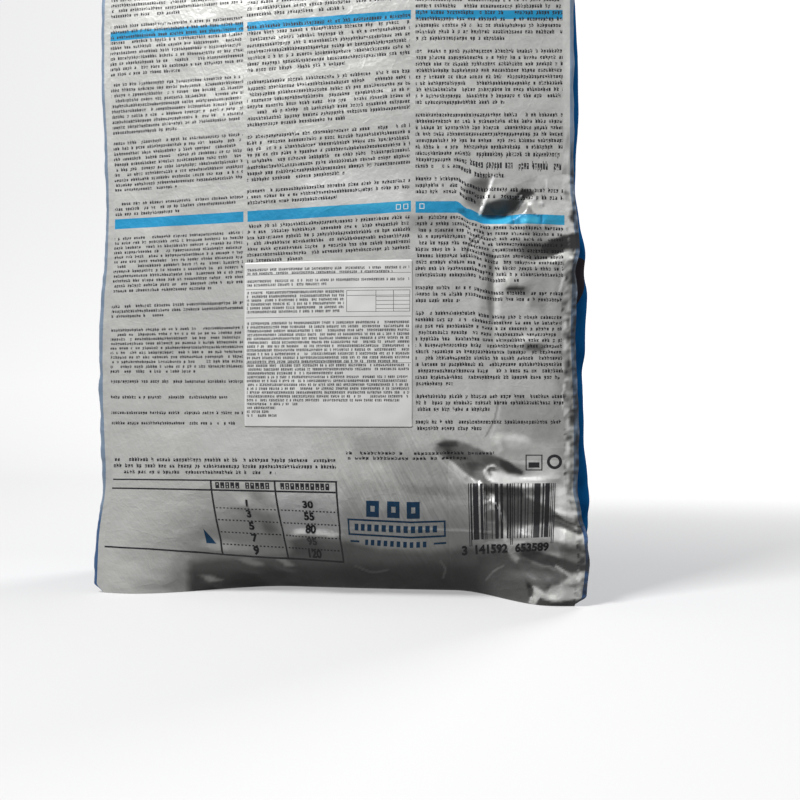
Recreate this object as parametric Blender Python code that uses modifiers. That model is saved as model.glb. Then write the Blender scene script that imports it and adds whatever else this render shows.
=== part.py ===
"""Pet food bag: a filled side gusset bag of metallised film that stands on its folded bottom.

The back panel faces -Y, the top seal is at +Z, and the origin is on the floor under the middle of the bag.
Two objects: the bag with its contents as one closed solid, and the paper label stuck on its back panel.
"""

from math import exp, hypot, pi, sin

import bmesh
import bpy

# Overall size of the filled bag
BAG_HEIGHT = 0.585
BAG_WIDTH = 0.288  # across a main panel, between the roots of its two edge fins
BAG_DEPTH = 0.130  # across a side gusset, between the main panels

# Edge fins, where a main panel is sealed to a gusset
FIN_WIDTH = 0.006
FIN_THICKNESS = 0.0012
FIN_FADE = 0.020  # height over which a fin ends under the top seal
EAR_HEIGHT = 0.006  # height of the pointed corner where a fin ends at the floor
FIN_WAVE = 0.0016  # how far a fin sways in and out
FIN_WAVE_PACE = 31.0  # radians of that sway for each metre of height

# Top: the film closes above the contents and ends in one flat seal
TOP_SEAL_HEIGHT = 0.034
TOP_SEAL_THICKNESS = 0.0024
EMPTY_TOP_HEIGHT = 0.151  # from the top of the contents to the seal, where the panels close together
GUSSET_TUCK = 0.046  # how far each gusset folds in under the top seal
TUCK_GAP = 0.0006  # between the two leaves of a tucked gusset
SEAL_SWAY = 0.003  # how far the top seal waves to either side

# Swell of the film over the contents
BACK_BULGE = 0.015
FRONT_BULGE = 0.013
GUSSET_BULGE = 0.014
GUSSET_CREASE = 0.0016  # dip along the fold line down the middle of a gusset
CREASE_WIDTH = 0.012

# Bottom: the middle of each panel turns far under to a flat base, and the corners stay out as pointed ears
TURN_HEIGHT = 0.076
TURN_INSET = 0.048
GUSSET_TURN_INSET = 0.016
TURN_STEEPNESS = 1.7
EAR_WIDTH = 0.012  # across a main panel, from the fin's root to where the turn begins
EAR_SPREAD_RIGHT = 0.062  # from there to where the turn is full, at the back right corner
EAR_SPREAD_PLAIN = 0.100  # the same at the other corners
CORNER_FLARE = 0.007  # how far a bottom corner spreads outward
FLARE_FULL_HEIGHT = 0.030  # the spread is full below this and gone above the next
FLARE_HEIGHT = 0.085

# Paper label on the back panel
LABEL_WIDTH = 0.1055
LABEL_HEIGHT = 0.102
LABEL_CORNER = 0.002
LABEL_THICKNESS = 0.0003
LABEL_GAP = 0.0003
LABEL_FROM_EDGE = 0.096  # from the right fin's edge to the label's right side
LABEL_FROM_FLOOR = 0.108

# Mesh density
ROW_STEP_LOW = 0.0075
ROW_STEP_HIGH = 0.020
DETAIL_HEIGHT = 0.270  # the rows are close together below this
DETAIL_WIDTH = 0.130  # the back panel's columns are close together this near its right edge
COLUMN_STEP_DETAIL = 0.0065
COLUMN_STEP_PLAIN = 0.0175
FRONT_COLUMNS = 10
GUSSET_COLUMNS = 6
LABEL_CELLS = 12

SEAL_BASE = BAG_HEIGHT - TOP_SEAL_HEIGHT
SHOULDER_HEIGHT = SEAL_BASE - EMPTY_TOP_HEIGHT
HALF_WIDTH = BAG_WIDTH / 2
HALF_DEPTH = BAG_DEPTH / 2
RIGHT_EDGE = HALF_WIDTH + FIN_WIDTH

# Sway of the back right fin: (height above the floor, outward shift)
RIGHT_SWAY = (
    (0.000, 0.0070),
    (0.028, 0.0095),
    (0.040, 0.0085),
    (0.055, 0.0045),
    (0.072, 0.0012),
    (0.110, 0.0012),
    (0.167, -0.0006),
    (0.200, 0.0004),
    (0.218, 0.0036),
    (0.235, 0.0020),
    (0.255, 0.0000),
)

# Swell of the right gusset: (height above the floor, factor on GUSSET_BULGE)
RIGHT_SWELL = (
    (0.000, 0.85),
    (0.025, 1.15),
    (0.065, 1.22),
    (0.100, 1.00),
    (0.140, 0.94),
    (0.158, 1.15),
    (0.190, 1.18),
    (0.215, 0.98),
    (0.240, 0.72),
    (0.262, 0.62),
    (0.340, 0.85),
)

# Dents and ridges of the back panel. Each is a path of (distance in from the right fin's edge, height) points,
# a half width, and a height that is positive where the film stands out.
BACK_FOLDS = (
    # upper right: pinched dent under a sharp fold, and the soft valley below it
    (((0.064, 0.249), (0.030, 0.240)), 0.0080, -0.0032),
    (((0.049, 0.262), (0.056, 0.237)), 0.0040, 0.0022),
    (((0.028, 0.247), (0.016, 0.231)), 0.0045, 0.0018),
    (((0.051, 0.231), (0.047, 0.125)), 0.0090, -0.0016),
    (((0.022, 0.224), (0.000, 0.214)), 0.0065, -0.0028),
    (((0.040, 0.195), (0.026, 0.186)), 0.0060, -0.0020),
    (((0.033, 0.157), (0.006, 0.154)), 0.0050, -0.0018),
    # band of crumples above the barcode
    (((0.084, 0.101), (0.061, 0.096), (0.043, 0.086), (0.028, 0.079)), 0.0055, -0.0030),
    (((0.075, 0.088), (0.056, 0.074)), 0.0050, 0.0022),
    (((0.045, 0.101), (0.025, 0.094)), 0.0080, 0.0028),
    (((0.052, 0.083), (0.034, 0.076), (0.009, 0.077)), 0.0042, 0.0024),
    (((0.058, 0.073), (0.048, 0.060)), 0.0042, -0.0024),
    (((0.042, 0.069), (0.034, 0.047)), 0.0070, -0.0030),
    # fold line where the panel starts to turn under
    (((0.155, 0.048), (0.095, 0.047), (0.046, 0.045)), 0.0045, 0.0012),
    # lower right corner
    (((0.010, 0.068), (0.001, 0.053)), 0.0055, 0.0024),
    (((0.015, 0.054), (-0.004, 0.047)), 0.0045, -0.0026),
    (((0.012, 0.046), (-0.006, 0.041)), 0.0042, 0.0022),
    (((0.045, 0.036), (0.018, 0.029), (-0.002, 0.022)), 0.0065, -0.0034),
    (((0.016, 0.033), (0.001, 0.018), (-0.005, 0.006)), 0.0042, 0.0024),
    # plain left side and top
    (((0.290, 0.060), (0.262, 0.090)), 0.0080, -0.0026),
    (((0.292, 0.330), (0.240, 0.352)), 0.0120, -0.0030),
    (((0.010, 0.335), (0.060, 0.372)), 0.0110, -0.0032),
    (((0.060, 0.430), (0.130, 0.405), (0.210, 0.425)), 0.0140, -0.0036),
    (((0.020, 0.500), (0.075, 0.455)), 0.0110, -0.0040),
    (((0.280, 0.505), (0.225, 0.450)), 0.0110, -0.0040),
)

# Dents of the front panel, as above, measured in from the fin's edge on the -X side
FRONT_FOLDS = (
    (((0.012, 0.330), (0.070, 0.362)), 0.0130, -0.0034),
    (((0.288, 0.300), (0.235, 0.345)), 0.0130, -0.0030),
    (((0.070, 0.420), (0.150, 0.400), (0.235, 0.428)), 0.0150, -0.0040),
    (((0.025, 0.505), (0.085, 0.450)), 0.0120, -0.0040),
    (((0.275, 0.500), (0.215, 0.455)), 0.0120, -0.0038),
    (((0.015, 0.070), (0.050, 0.045)), 0.0100, -0.0030),
    (((0.285, 0.075), (0.245, 0.046)), 0.0100, -0.0030),
)

FILM_COLOUR = (0.38, 0.385, 0.37, 1.0)
PRINT_COLOUR = (0.012, 0.115, 0.27, 1.0)
LABEL_COLOUR = (0.62, 0.62, 0.60, 1.0)


def ease(start, end, value):
    """A smooth step from 0 at start to 1 at end."""
    share = min(max((value - start) / (end - start), 0.0), 1.0)
    return share * share * (3.0 - 2.0 * share)


def along(points, value):
    """A smooth curve through (place, height) points, level outside them."""
    if value <= points[0][0]:
        return points[0][1]
    for (place, height), (next_place, next_height) in zip(points, points[1:]):
        if value <= next_place:
            return height + (next_height - height) * ease(place, next_place, value)
    return points[-1][1]


def distance_to_path(path, x, z):
    """Distance from a point to a path, and where along the path from 0 to 1 the nearest point lies."""
    nearest, place = None, 0.0
    pieces = len(path) - 1
    for index, ((x0, z0), (x1, z1)) in enumerate(zip(path, path[1:])):
        length_squared = (x1 - x0) ** 2 + (z1 - z0) ** 2
        share = ((x - x0) * (x1 - x0) + (z - z0) * (z1 - z0)) / length_squared
        share = min(max(share, 0.0), 1.0)
        gap = hypot(x - x0 - share * (x1 - x0), z - z0 - share * (z1 - z0))
        if nearest is None or gap < nearest:
            nearest, place = gap, (index + share) / pieces
    return nearest, place


def folds(paths, from_edge, z):
    """Sum of the dents and ridges at a point of a panel, fading to nothing at the floor and the top seal."""
    total = 0.0
    for path, half_width, height in paths:
        gap, place = distance_to_path(path, from_edge, z)
        if gap < 3.0 * half_width:
            taper = 0.35 + 0.65 * sin(pi * place)
            total += height * taper * exp(-((gap / half_width) ** 2))
    return total * ease(0.0, EAR_HEIGHT, z) * (1.0 - ease(SEAL_BASE - TOP_SEAL_HEIGHT, SEAL_BASE, z))


def half_depth(z):
    """Half the distance between the main panels at the fins."""
    if z <= SHOULDER_HEIGHT:
        return HALF_DEPTH
    share = min((z - SHOULDER_HEIGHT) / (SEAL_BASE - SHOULDER_HEIGHT), 1.0)
    closed = share**1.35
    return HALF_DEPTH * (1.0 - closed) + TOP_SEAL_THICKNESS / 2 * closed


def body(z):
    """How full the bag is at a height: 1 in the contents, falling to 0 at the top seal."""
    settled = 0.6 + 0.4 * ease(0.0, 0.22 * SHOULDER_HEIGHT, z)
    return settled * (1.0 - ease(0.72 * SHOULDER_HEIGHT, SEAL_BASE, z))


def turn(z):
    """How far the film has turned under at a height: 1 on the floor, 0 above the turn."""
    return max(1.0 - z / TURN_HEIGHT, 0.0) ** TURN_STEEPNESS


def flare(z):
    """Outward spread of a bottom corner."""
    return CORNER_FLARE * (1.0 - ease(FLARE_FULL_HEIGHT, FLARE_HEIGHT, z))


def corner_sway(side_x, side_y, z):
    """Outward shift of one fin's root at a height."""
    top = 1.0 - ease(SHOULDER_HEIGHT, SEAL_BASE, z)
    if side_x > 0 and side_y < 0:
        return along(RIGHT_SWAY, z) * top
    wave = FIN_WAVE * sin(FIN_WAVE_PACE * z + 2.1 * side_x + 0.9 * side_y)
    return (flare(z) + wave) * top


def seal_wave(x, z):
    """Sideways wave of the empty top, which grows towards the seal."""
    return SEAL_SWAY * sin(2.0 * pi * x / BAG_WIDTH + 0.6) * ease(SHOULDER_HEIGHT, SEAL_BASE, z)


def panel_point(side_y, share, z):
    """Point on a main panel: side_y is -1 for the back and 1 for the front, share runs from -1 at -X to 1 at +X."""
    left = -HALF_WIDTH - corner_sway(-1, side_y, z)
    right = HALF_WIDTH + corner_sway(1, side_y, z)
    x = left + (right - left) * (share + 1.0) / 2
    bulge = (BACK_BULGE if side_y < 0 else FRONT_BULGE) * body(z) * (1.0 - share * share)
    from_root = (1.0 - abs(share)) * HALF_WIDTH
    spread = EAR_SPREAD_RIGHT if side_y < 0 and share > 0 else EAR_SPREAD_PLAIN
    inset = TURN_INSET * turn(z) * ease(EAR_WIDTH, EAR_WIDTH + spread, from_root)
    if side_y < 0:
        relief = folds(BACK_FOLDS, RIGHT_EDGE - x, z)
    else:
        relief = folds(FRONT_FOLDS, x + RIGHT_EDGE, z)
    relief *= 1.0 - share**8
    y = side_y * (half_depth(z) + bulge - inset + relief) + seal_wave(x, z)
    return (x, y, z)


def gusset_point(side_x, share, z):
    """Point on a gusset: side_x is 1 for +X, share runs from -1 at the back to 1 at the front."""
    back = HALF_WIDTH + corner_sway(side_x, -1, z)
    front = HALF_WIDTH + corner_sway(side_x, 1, z)
    root = back + (front - back) * (share + 1.0) / 2
    swell = along(RIGHT_SWELL, z) if side_x > 0 else 1.0
    bulge = GUSSET_BULGE * swell * body(z) * (1.0 - share**4)
    crease = GUSSET_CREASE * exp(-((share * HALF_DEPTH / CREASE_WIDTH) ** 2)) * body(z)
    inset = GUSSET_TURN_INSET * turn(z) * (1.0 - share**4)
    tuck = GUSSET_TUCK * ease(SHOULDER_HEIGHT, SEAL_BASE, z) * (1.0 - abs(share))
    inner = half_depth(z) - FIN_THICKNESS
    y = share * inner
    if z >= SEAL_BASE:
        tuck = 0.0
        y = share * half_depth(z)
    x = side_x * (root + bulge - crease - inset - tuck)
    return (x, y + seal_wave(x, z), z)


def fin_points(side_x, side_y, z):
    """The outer edge of one fin and its inner root: outer side, inner side, root behind it."""
    root_x = HALF_WIDTH + corner_sway(side_x, side_y, z)
    width = FIN_WIDTH * ease(0.0, EAR_HEIGHT, z) * (1.0 - ease(SEAL_BASE - FIN_FADE, SEAL_BASE, z))
    thickness = min(FIN_THICKNESS, half_depth(z) - TUCK_GAP / 2)
    if z >= SEAL_BASE:
        thickness = 0.0
    outer_y = side_y * half_depth(z)
    inner_y = side_y * (half_depth(z) - thickness)
    tip_x = side_x * (root_x + width)
    wave = seal_wave(side_x * root_x, z)
    outer_tip = (tip_x, outer_y + wave, z)
    inner_tip = (tip_x, inner_y + wave, z)
    inner_root = (side_x * root_x, inner_y + wave, z)
    return [outer_tip, inner_tip, inner_root]


def evenly(start, end, step):
    """Evenly spaced values from start to end, both included, about step apart."""
    count = max(1, round(abs(end - start) / step))
    return [start + (end - start) * index / count for index in range(count + 1)]


def back_shares():
    """Places across the back panel, closer together towards its right edge."""
    change = HALF_WIDTH - DETAIL_WIDTH
    places = evenly(-HALF_WIDTH, change, COLUMN_STEP_PLAIN)[:-1]
    places += evenly(change, HALF_WIDTH, COLUMN_STEP_DETAIL)
    return [place / HALF_WIDTH for place in places]


def row_heights():
    """Heights of the sections from the floor to the top, closer together low down."""
    low = [0.0, EAR_HEIGHT / 2, EAR_HEIGHT]
    low += evenly(EAR_HEIGHT, DETAIL_HEIGHT, ROW_STEP_LOW)[1:]
    high = evenly(DETAIL_HEIGHT, SEAL_BASE - FIN_FADE, ROW_STEP_HIGH)[1:]
    just_under = SEAL_BASE - FIN_THICKNESS
    return low + high + [just_under, SEAL_BASE, BAG_HEIGHT]


def section(z):
    """The bag's outline at one height, anticlockwise from above, starting at the back left corner."""
    even = [-1.0 + 2.0 * index / FRONT_COLUMNS for index in range(FRONT_COLUMNS + 1)]
    gusset = [-1.0 + 2.0 * index / GUSSET_COLUMNS for index in range(1, GUSSET_COLUMNS)]
    ring = [panel_point(-1, share, z) for share in back_shares()]
    ring += fin_points(1, -1, z)
    ring += [gusset_point(1, share, z) for share in gusset]
    ring += reversed(fin_points(1, 1, z))
    ring += [panel_point(1, share, z) for share in reversed(even)]
    ring += fin_points(-1, 1, z)
    ring += [gusset_point(-1, share, z) for share in reversed(gusset)]
    ring += reversed(fin_points(-1, -1, z))
    return ring


def principled(name, colour, roughness, metallic):
    """A plain Principled material."""
    material = bpy.data.materials.new(name)
    material.use_nodes = True
    shader = material.node_tree.nodes["Principled BSDF"]
    shader.inputs["Base Color"].default_value = colour
    shader.inputs["Roughness"].default_value = roughness
    shader.inputs["Metallic"].default_value = metallic
    return material


def add_object(name, collection, model):
    """Makes an object from a bmesh."""
    mesh = bpy.data.meshes.new(name)
    model.to_mesh(mesh)
    model.free()
    made = bpy.data.objects.new(name, mesh)
    collection.objects.link(made)
    return made


def make_bag(collection):
    """The filled bag: a loft through unlike sections, closed by a flat base and the edge of the top seal."""
    model = bmesh.new()
    rings = [[model.verts.new(point) for point in section(z)] for z in row_heights()]
    size = len(rings[0])
    back_count = len(back_shares())
    for lower, upper in zip(rings, rings[1:]):
        for index in range(size):
            following = (index + 1) % size
            face = model.faces.new((lower[index], lower[following], upper[following], upper[index]))
            face.material_index = 0 if index < back_count or index == size - 1 else 1
    base = model.faces.new(reversed(rings[0]))
    base.material_index = 1
    middle = model.verts.new((0.0, seal_wave(0.0, BAG_HEIGHT), BAG_HEIGHT))
    for index in range(size):
        model.faces.new((rings[-1][index], rings[-1][(index + 1) % size], middle)).material_index = 1
    bmesh.ops.remove_doubles(model, verts=model.verts, dist=0.00005)
    bmesh.ops.triangulate(model, faces=model.faces, ngon_method="EAR_CLIP")
    bag = add_object("bag", collection, model)
    bag.data.materials.append(principled("metallised_film", FILM_COLOUR, 0.38, 0.7))
    bag.data.materials.append(principled("blue_print", PRINT_COLOUR, 0.34, 0.3))
    bag.data.shade_smooth()
    bag.data.set_sharp_from_angle(angle=pi / 5)
    return bag


def panel_depth(x, z):
    """Distance of the back panel in front of the bag's middle plane, at a place across the panel."""
    left = -HALF_WIDTH - corner_sway(-1, -1, z)
    right = HALF_WIDTH + corner_sway(1, -1, z)
    share = 2.0 * (x - left) / (right - left) - 1.0
    return panel_point(-1, share, z)[1]


def make_label(collection):
    """The paper label: a flat sheet with rounded corners, laid on the back panel and given its thickness."""
    model = bmesh.new()
    bmesh.ops.create_grid(model, x_segments=LABEL_CELLS, y_segments=LABEL_CELLS, size=0.5)
    for vertex in model.verts:
        vertex.co.x *= LABEL_WIDTH
        vertex.co.y *= LABEL_HEIGHT
    corners = [vertex for vertex in model.verts if len(vertex.link_edges) == 2]
    bmesh.ops.bevel(
        model, geom=corners, offset=LABEL_CORNER, segments=3, profile=0.5, affect="VERTICES", offset_type="OFFSET"
    )
    centre_x = RIGHT_EDGE - LABEL_FROM_EDGE - LABEL_WIDTH / 2
    centre_z = LABEL_FROM_FLOOR + LABEL_HEIGHT / 2
    for vertex in model.verts:
        x = centre_x + vertex.co.x
        z = centre_z + vertex.co.y
        vertex.co = (x, panel_depth(x, z) - LABEL_GAP - LABEL_THICKNESS, z)
    bmesh.ops.triangulate(model, faces=model.faces)
    label = add_object("ingredient_label", collection, model)
    solid = label.modifiers.new("thickness", "SOLIDIFY")
    solid.thickness = LABEL_THICKNESS
    solid.offset = -1.0
    label.data.materials.append(principled("label_paper", LABEL_COLOUR, 0.7, 0.0))
    return label


def main():
    for old in list(bpy.data.objects):
        bpy.data.objects.remove(old)
    collection = bpy.data.collections.new("pet_food_bag")
    bpy.context.scene.collection.children.link(collection)
    make_bag(collection)
    make_label(collection)


main()
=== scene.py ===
from math import cos, pi, radians, sin

import bmesh
import bpy
import numpy as np
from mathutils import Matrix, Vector


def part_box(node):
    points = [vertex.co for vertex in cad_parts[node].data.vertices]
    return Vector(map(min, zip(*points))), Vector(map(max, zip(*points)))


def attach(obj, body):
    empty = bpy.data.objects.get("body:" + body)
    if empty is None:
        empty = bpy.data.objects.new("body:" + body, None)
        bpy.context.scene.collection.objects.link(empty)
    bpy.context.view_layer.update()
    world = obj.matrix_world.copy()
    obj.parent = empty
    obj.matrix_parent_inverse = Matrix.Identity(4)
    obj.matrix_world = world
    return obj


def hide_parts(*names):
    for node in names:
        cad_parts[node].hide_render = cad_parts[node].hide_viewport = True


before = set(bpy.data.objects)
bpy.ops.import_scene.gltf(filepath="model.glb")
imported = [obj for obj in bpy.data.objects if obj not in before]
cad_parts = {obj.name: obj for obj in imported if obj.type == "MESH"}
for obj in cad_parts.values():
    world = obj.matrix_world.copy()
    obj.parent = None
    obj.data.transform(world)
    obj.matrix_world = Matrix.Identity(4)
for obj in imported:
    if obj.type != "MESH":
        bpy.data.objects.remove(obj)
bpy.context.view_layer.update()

bag_low, bag_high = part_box("bag")
label_low, label_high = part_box("ingredient_label")

# A filled film bag with its label, numbers and seal ribs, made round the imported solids, and its stage.

# Sizes of the bag, in metres, as the solid under this surface has them
BAG_HEIGHT = bag_high[2]
HALF_WIDTH = 0.144
HALF_DEPTH = 0.065
FIN_WIDTH = 0.006
BACK_FIN_EXTRA = 0.0015
FIN_THICKNESS = 0.0012
FIN_FADE = 0.020
EAR_HEIGHT = 0.006
TOP_SEAL_HEIGHT = 0.034
TOP_SEAL_THICKNESS = 0.0024
TUCK_GAP = 0.0006
SEAL_BASE = BAG_HEIGHT - TOP_SEAL_HEIGHT
SHOULDER_HEIGHT = SEAL_BASE - 0.151
GUSSET_TUCK = 0.046
SEAL_SWAY = 0.003
BACK_BULGE = 0.015
FRONT_BULGE = 0.013
GUSSET_BULGE = 0.014
GUSSET_CREASE = 0.0022
CREASE_WIDTH = 0.009
TURN_HEIGHT = 0.076
TURN_INSET = 0.048
GUSSET_TURN_INSET = 0.016
TURN_STEEPNESS = 1.7
EAR_WIDTH = 0.012
EAR_SPREAD_RIGHT = 0.062
EAR_SPREAD_PLAIN = 0.100
CORNER_FLARE = 0.007
SEAM_GAP = 0.00004

# Outward shift of the right back fin's root, and swell of the right gusset, by height
RIGHT_SWAY = (
    (0.000, 0.0070), (0.028, 0.0095), (0.040, 0.0085), (0.055, 0.0045), (0.072, 0.0012), (0.110, 0.0012),
    (0.167, -0.0006), (0.200, 0.0004), (0.218, 0.0036), (0.235, 0.0020), (0.255, 0.0000),
)
RIGHT_SWELL = (
    (0.000, 0.85), (0.025, 1.15), (0.065, 1.22), (0.100, 1.00), (0.140, 0.87), (0.158, 1.09),
    (0.190, 1.14), (0.215, 0.89), (0.240, 0.67), (0.262, 0.60), (0.340, 0.85),
)

# Camera: it looks level at the lower right part of the back panel, a little from the right
PHOTO_MIDDLE = 400.0
CAMERA_TURN = radians(8.5)
CAMERA_DISTANCE = 0.62
CAMERA_TARGET = (0.0465, -0.080, 0.1248)
FOCAL_PIXELS = 1023.0
SENSOR_WIDTH = 36.0

# Folds of the back panel, in pixels of the photograph, which is the frame that its print is laid out in.
# Each has a path, a width on the path's left-hand and right-hand side, and a height in millimetres,
# positive where the film stands out.
UPPER_FOLDS = (
    (((474, 211), (482, 214), (492, 216), (503, 214), (514, 208), (523, 199), (531, 189)), 15, 10, -6.5),
    (((490, 176), (484, 196), (477, 214)), 3, 17, -3.6),
    (((518, 223), (535, 224), (562, 224)), 22, 14, 2.6),
    (((527, 201), (535, 213), (543, 226)), 3, 3, -0.8),
    (((511, 213), (514, 219), (512, 226)), 3, 3, -0.7),
    (((539, 214), (542, 220), (541, 227)), 3, 3, -0.7),
    (((470, 221), (483, 229), (492, 242), (494, 265), (492, 300), (491, 340), (490, 410)), 9, 13, -2.4),
    (((486, 233), (475, 240), (469, 250), (464, 261)), 3, 3, -0.4),
    (((516, 255), (532, 257), (546, 256), (560, 252), (584, 245)), 14, 8, -5.8),
    (((500, 289), (511, 285), (520, 286), (531, 292)), 14, 9, 2.6),
    (((524, 303), (535, 305), (547, 310)), 7, 6, 1.3),
    (((517, 345), (531, 343), (549, 346)), 9, 7, 2.2),
    (((520, 198), (521, 195)), 3, 3, 1.2),
    (((531, 200), (534, 197)), 3, 3, 1.2),
    (((540, 205), (543, 202)), 3, 3, 1.2),
)
LOWER_FOLDS = (
    (((433, 446), (445, 457), (457, 468), (469, 478), (482, 485)), 18, 6, -6.0),
    (((472, 465), (486, 468), (499, 471), (511, 476), (524, 477), (548, 474)), 14, 10, -3.6),
    (((490, 446), (502, 441), (516, 441), (533, 448)), 9, 18, 1.5),
    (((484, 476), (488, 468), (495, 467), (500, 474)), 3, 3, 1.4),
    (((476, 489), (494, 486), (515, 487), (540, 486), (562, 480)), 10, 8, 3.0),
    (((492, 526), (512, 525), (535, 524), (557, 529), (586, 534)), 27, 12, -2.8),
    (((476, 480), (483, 491), (487, 501)), 3, 3, 1.8),
    (((484, 511), (485, 504), (489, 501), (494, 503), (495, 510)), 2.5, 2.5, 1.2),
    (((486, 484), (489, 494), (491, 504)), 5, 5, -2.6),
    (((491, 495), (497, 509), (505, 525)), 3, 5, 2.4),
    (((570, 482), (571, 500), (573, 518)), 4, 15, 2.6),
    (((550, 510), (566, 516), (584, 523)), 5, 8, 2.2),
    (((508, 544), (530, 541), (556, 540), (590, 543)), 15, 13, 3.6),
    (((492, 568), (525, 571), (556, 573), (592, 574)), 24, 11, -2.2),
    (((550, 561), (561, 569), (570, 576), (576, 585), (583, 597)), 4, 4, 0.8),
    (((527, 584), (537, 588), (547, 594), (559, 587), (573, 577)), 12, 11, -1.2),
    (((530, 598), (548, 601), (562, 602), (580, 598)), 15, 5, 1.2),
    (((528, 582), (531, 592), (534, 602)), 4, 4, -2.6),
    (((527, 604), (532, 600), (536, 605)), 3, 3, 1.6),
    (((318, 531), (360, 529), (420, 530), (470, 532), (508, 535)), 2, 2, 0.8),
    (((340, 545), (380, 550), (420, 550), (458, 545)), 16, 13, 2.8),
)
TABLE_FOLDS = (
    (((232, 498), (256, 511), (278, 524)), 11, 10, 1.8),
    (((252, 520), (268, 526), (288, 536)), 8, 8, -1.4),
    (((288, 537), (303, 534), (330, 537), (352, 540)), 7, 11, 3.2),
    (((196, 547), (230, 552), (262, 555), (292, 556)), 13, 11, 3.2),
    (((236, 565), (250, 569), (264, 570)), 10, 5, 2.4),
    (((273, 562), (286, 567), (300, 568)), 10, 5, 2.4),
    (((200, 579), (213, 583), (228, 586)), 9, 4, 2.0),
)

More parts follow.
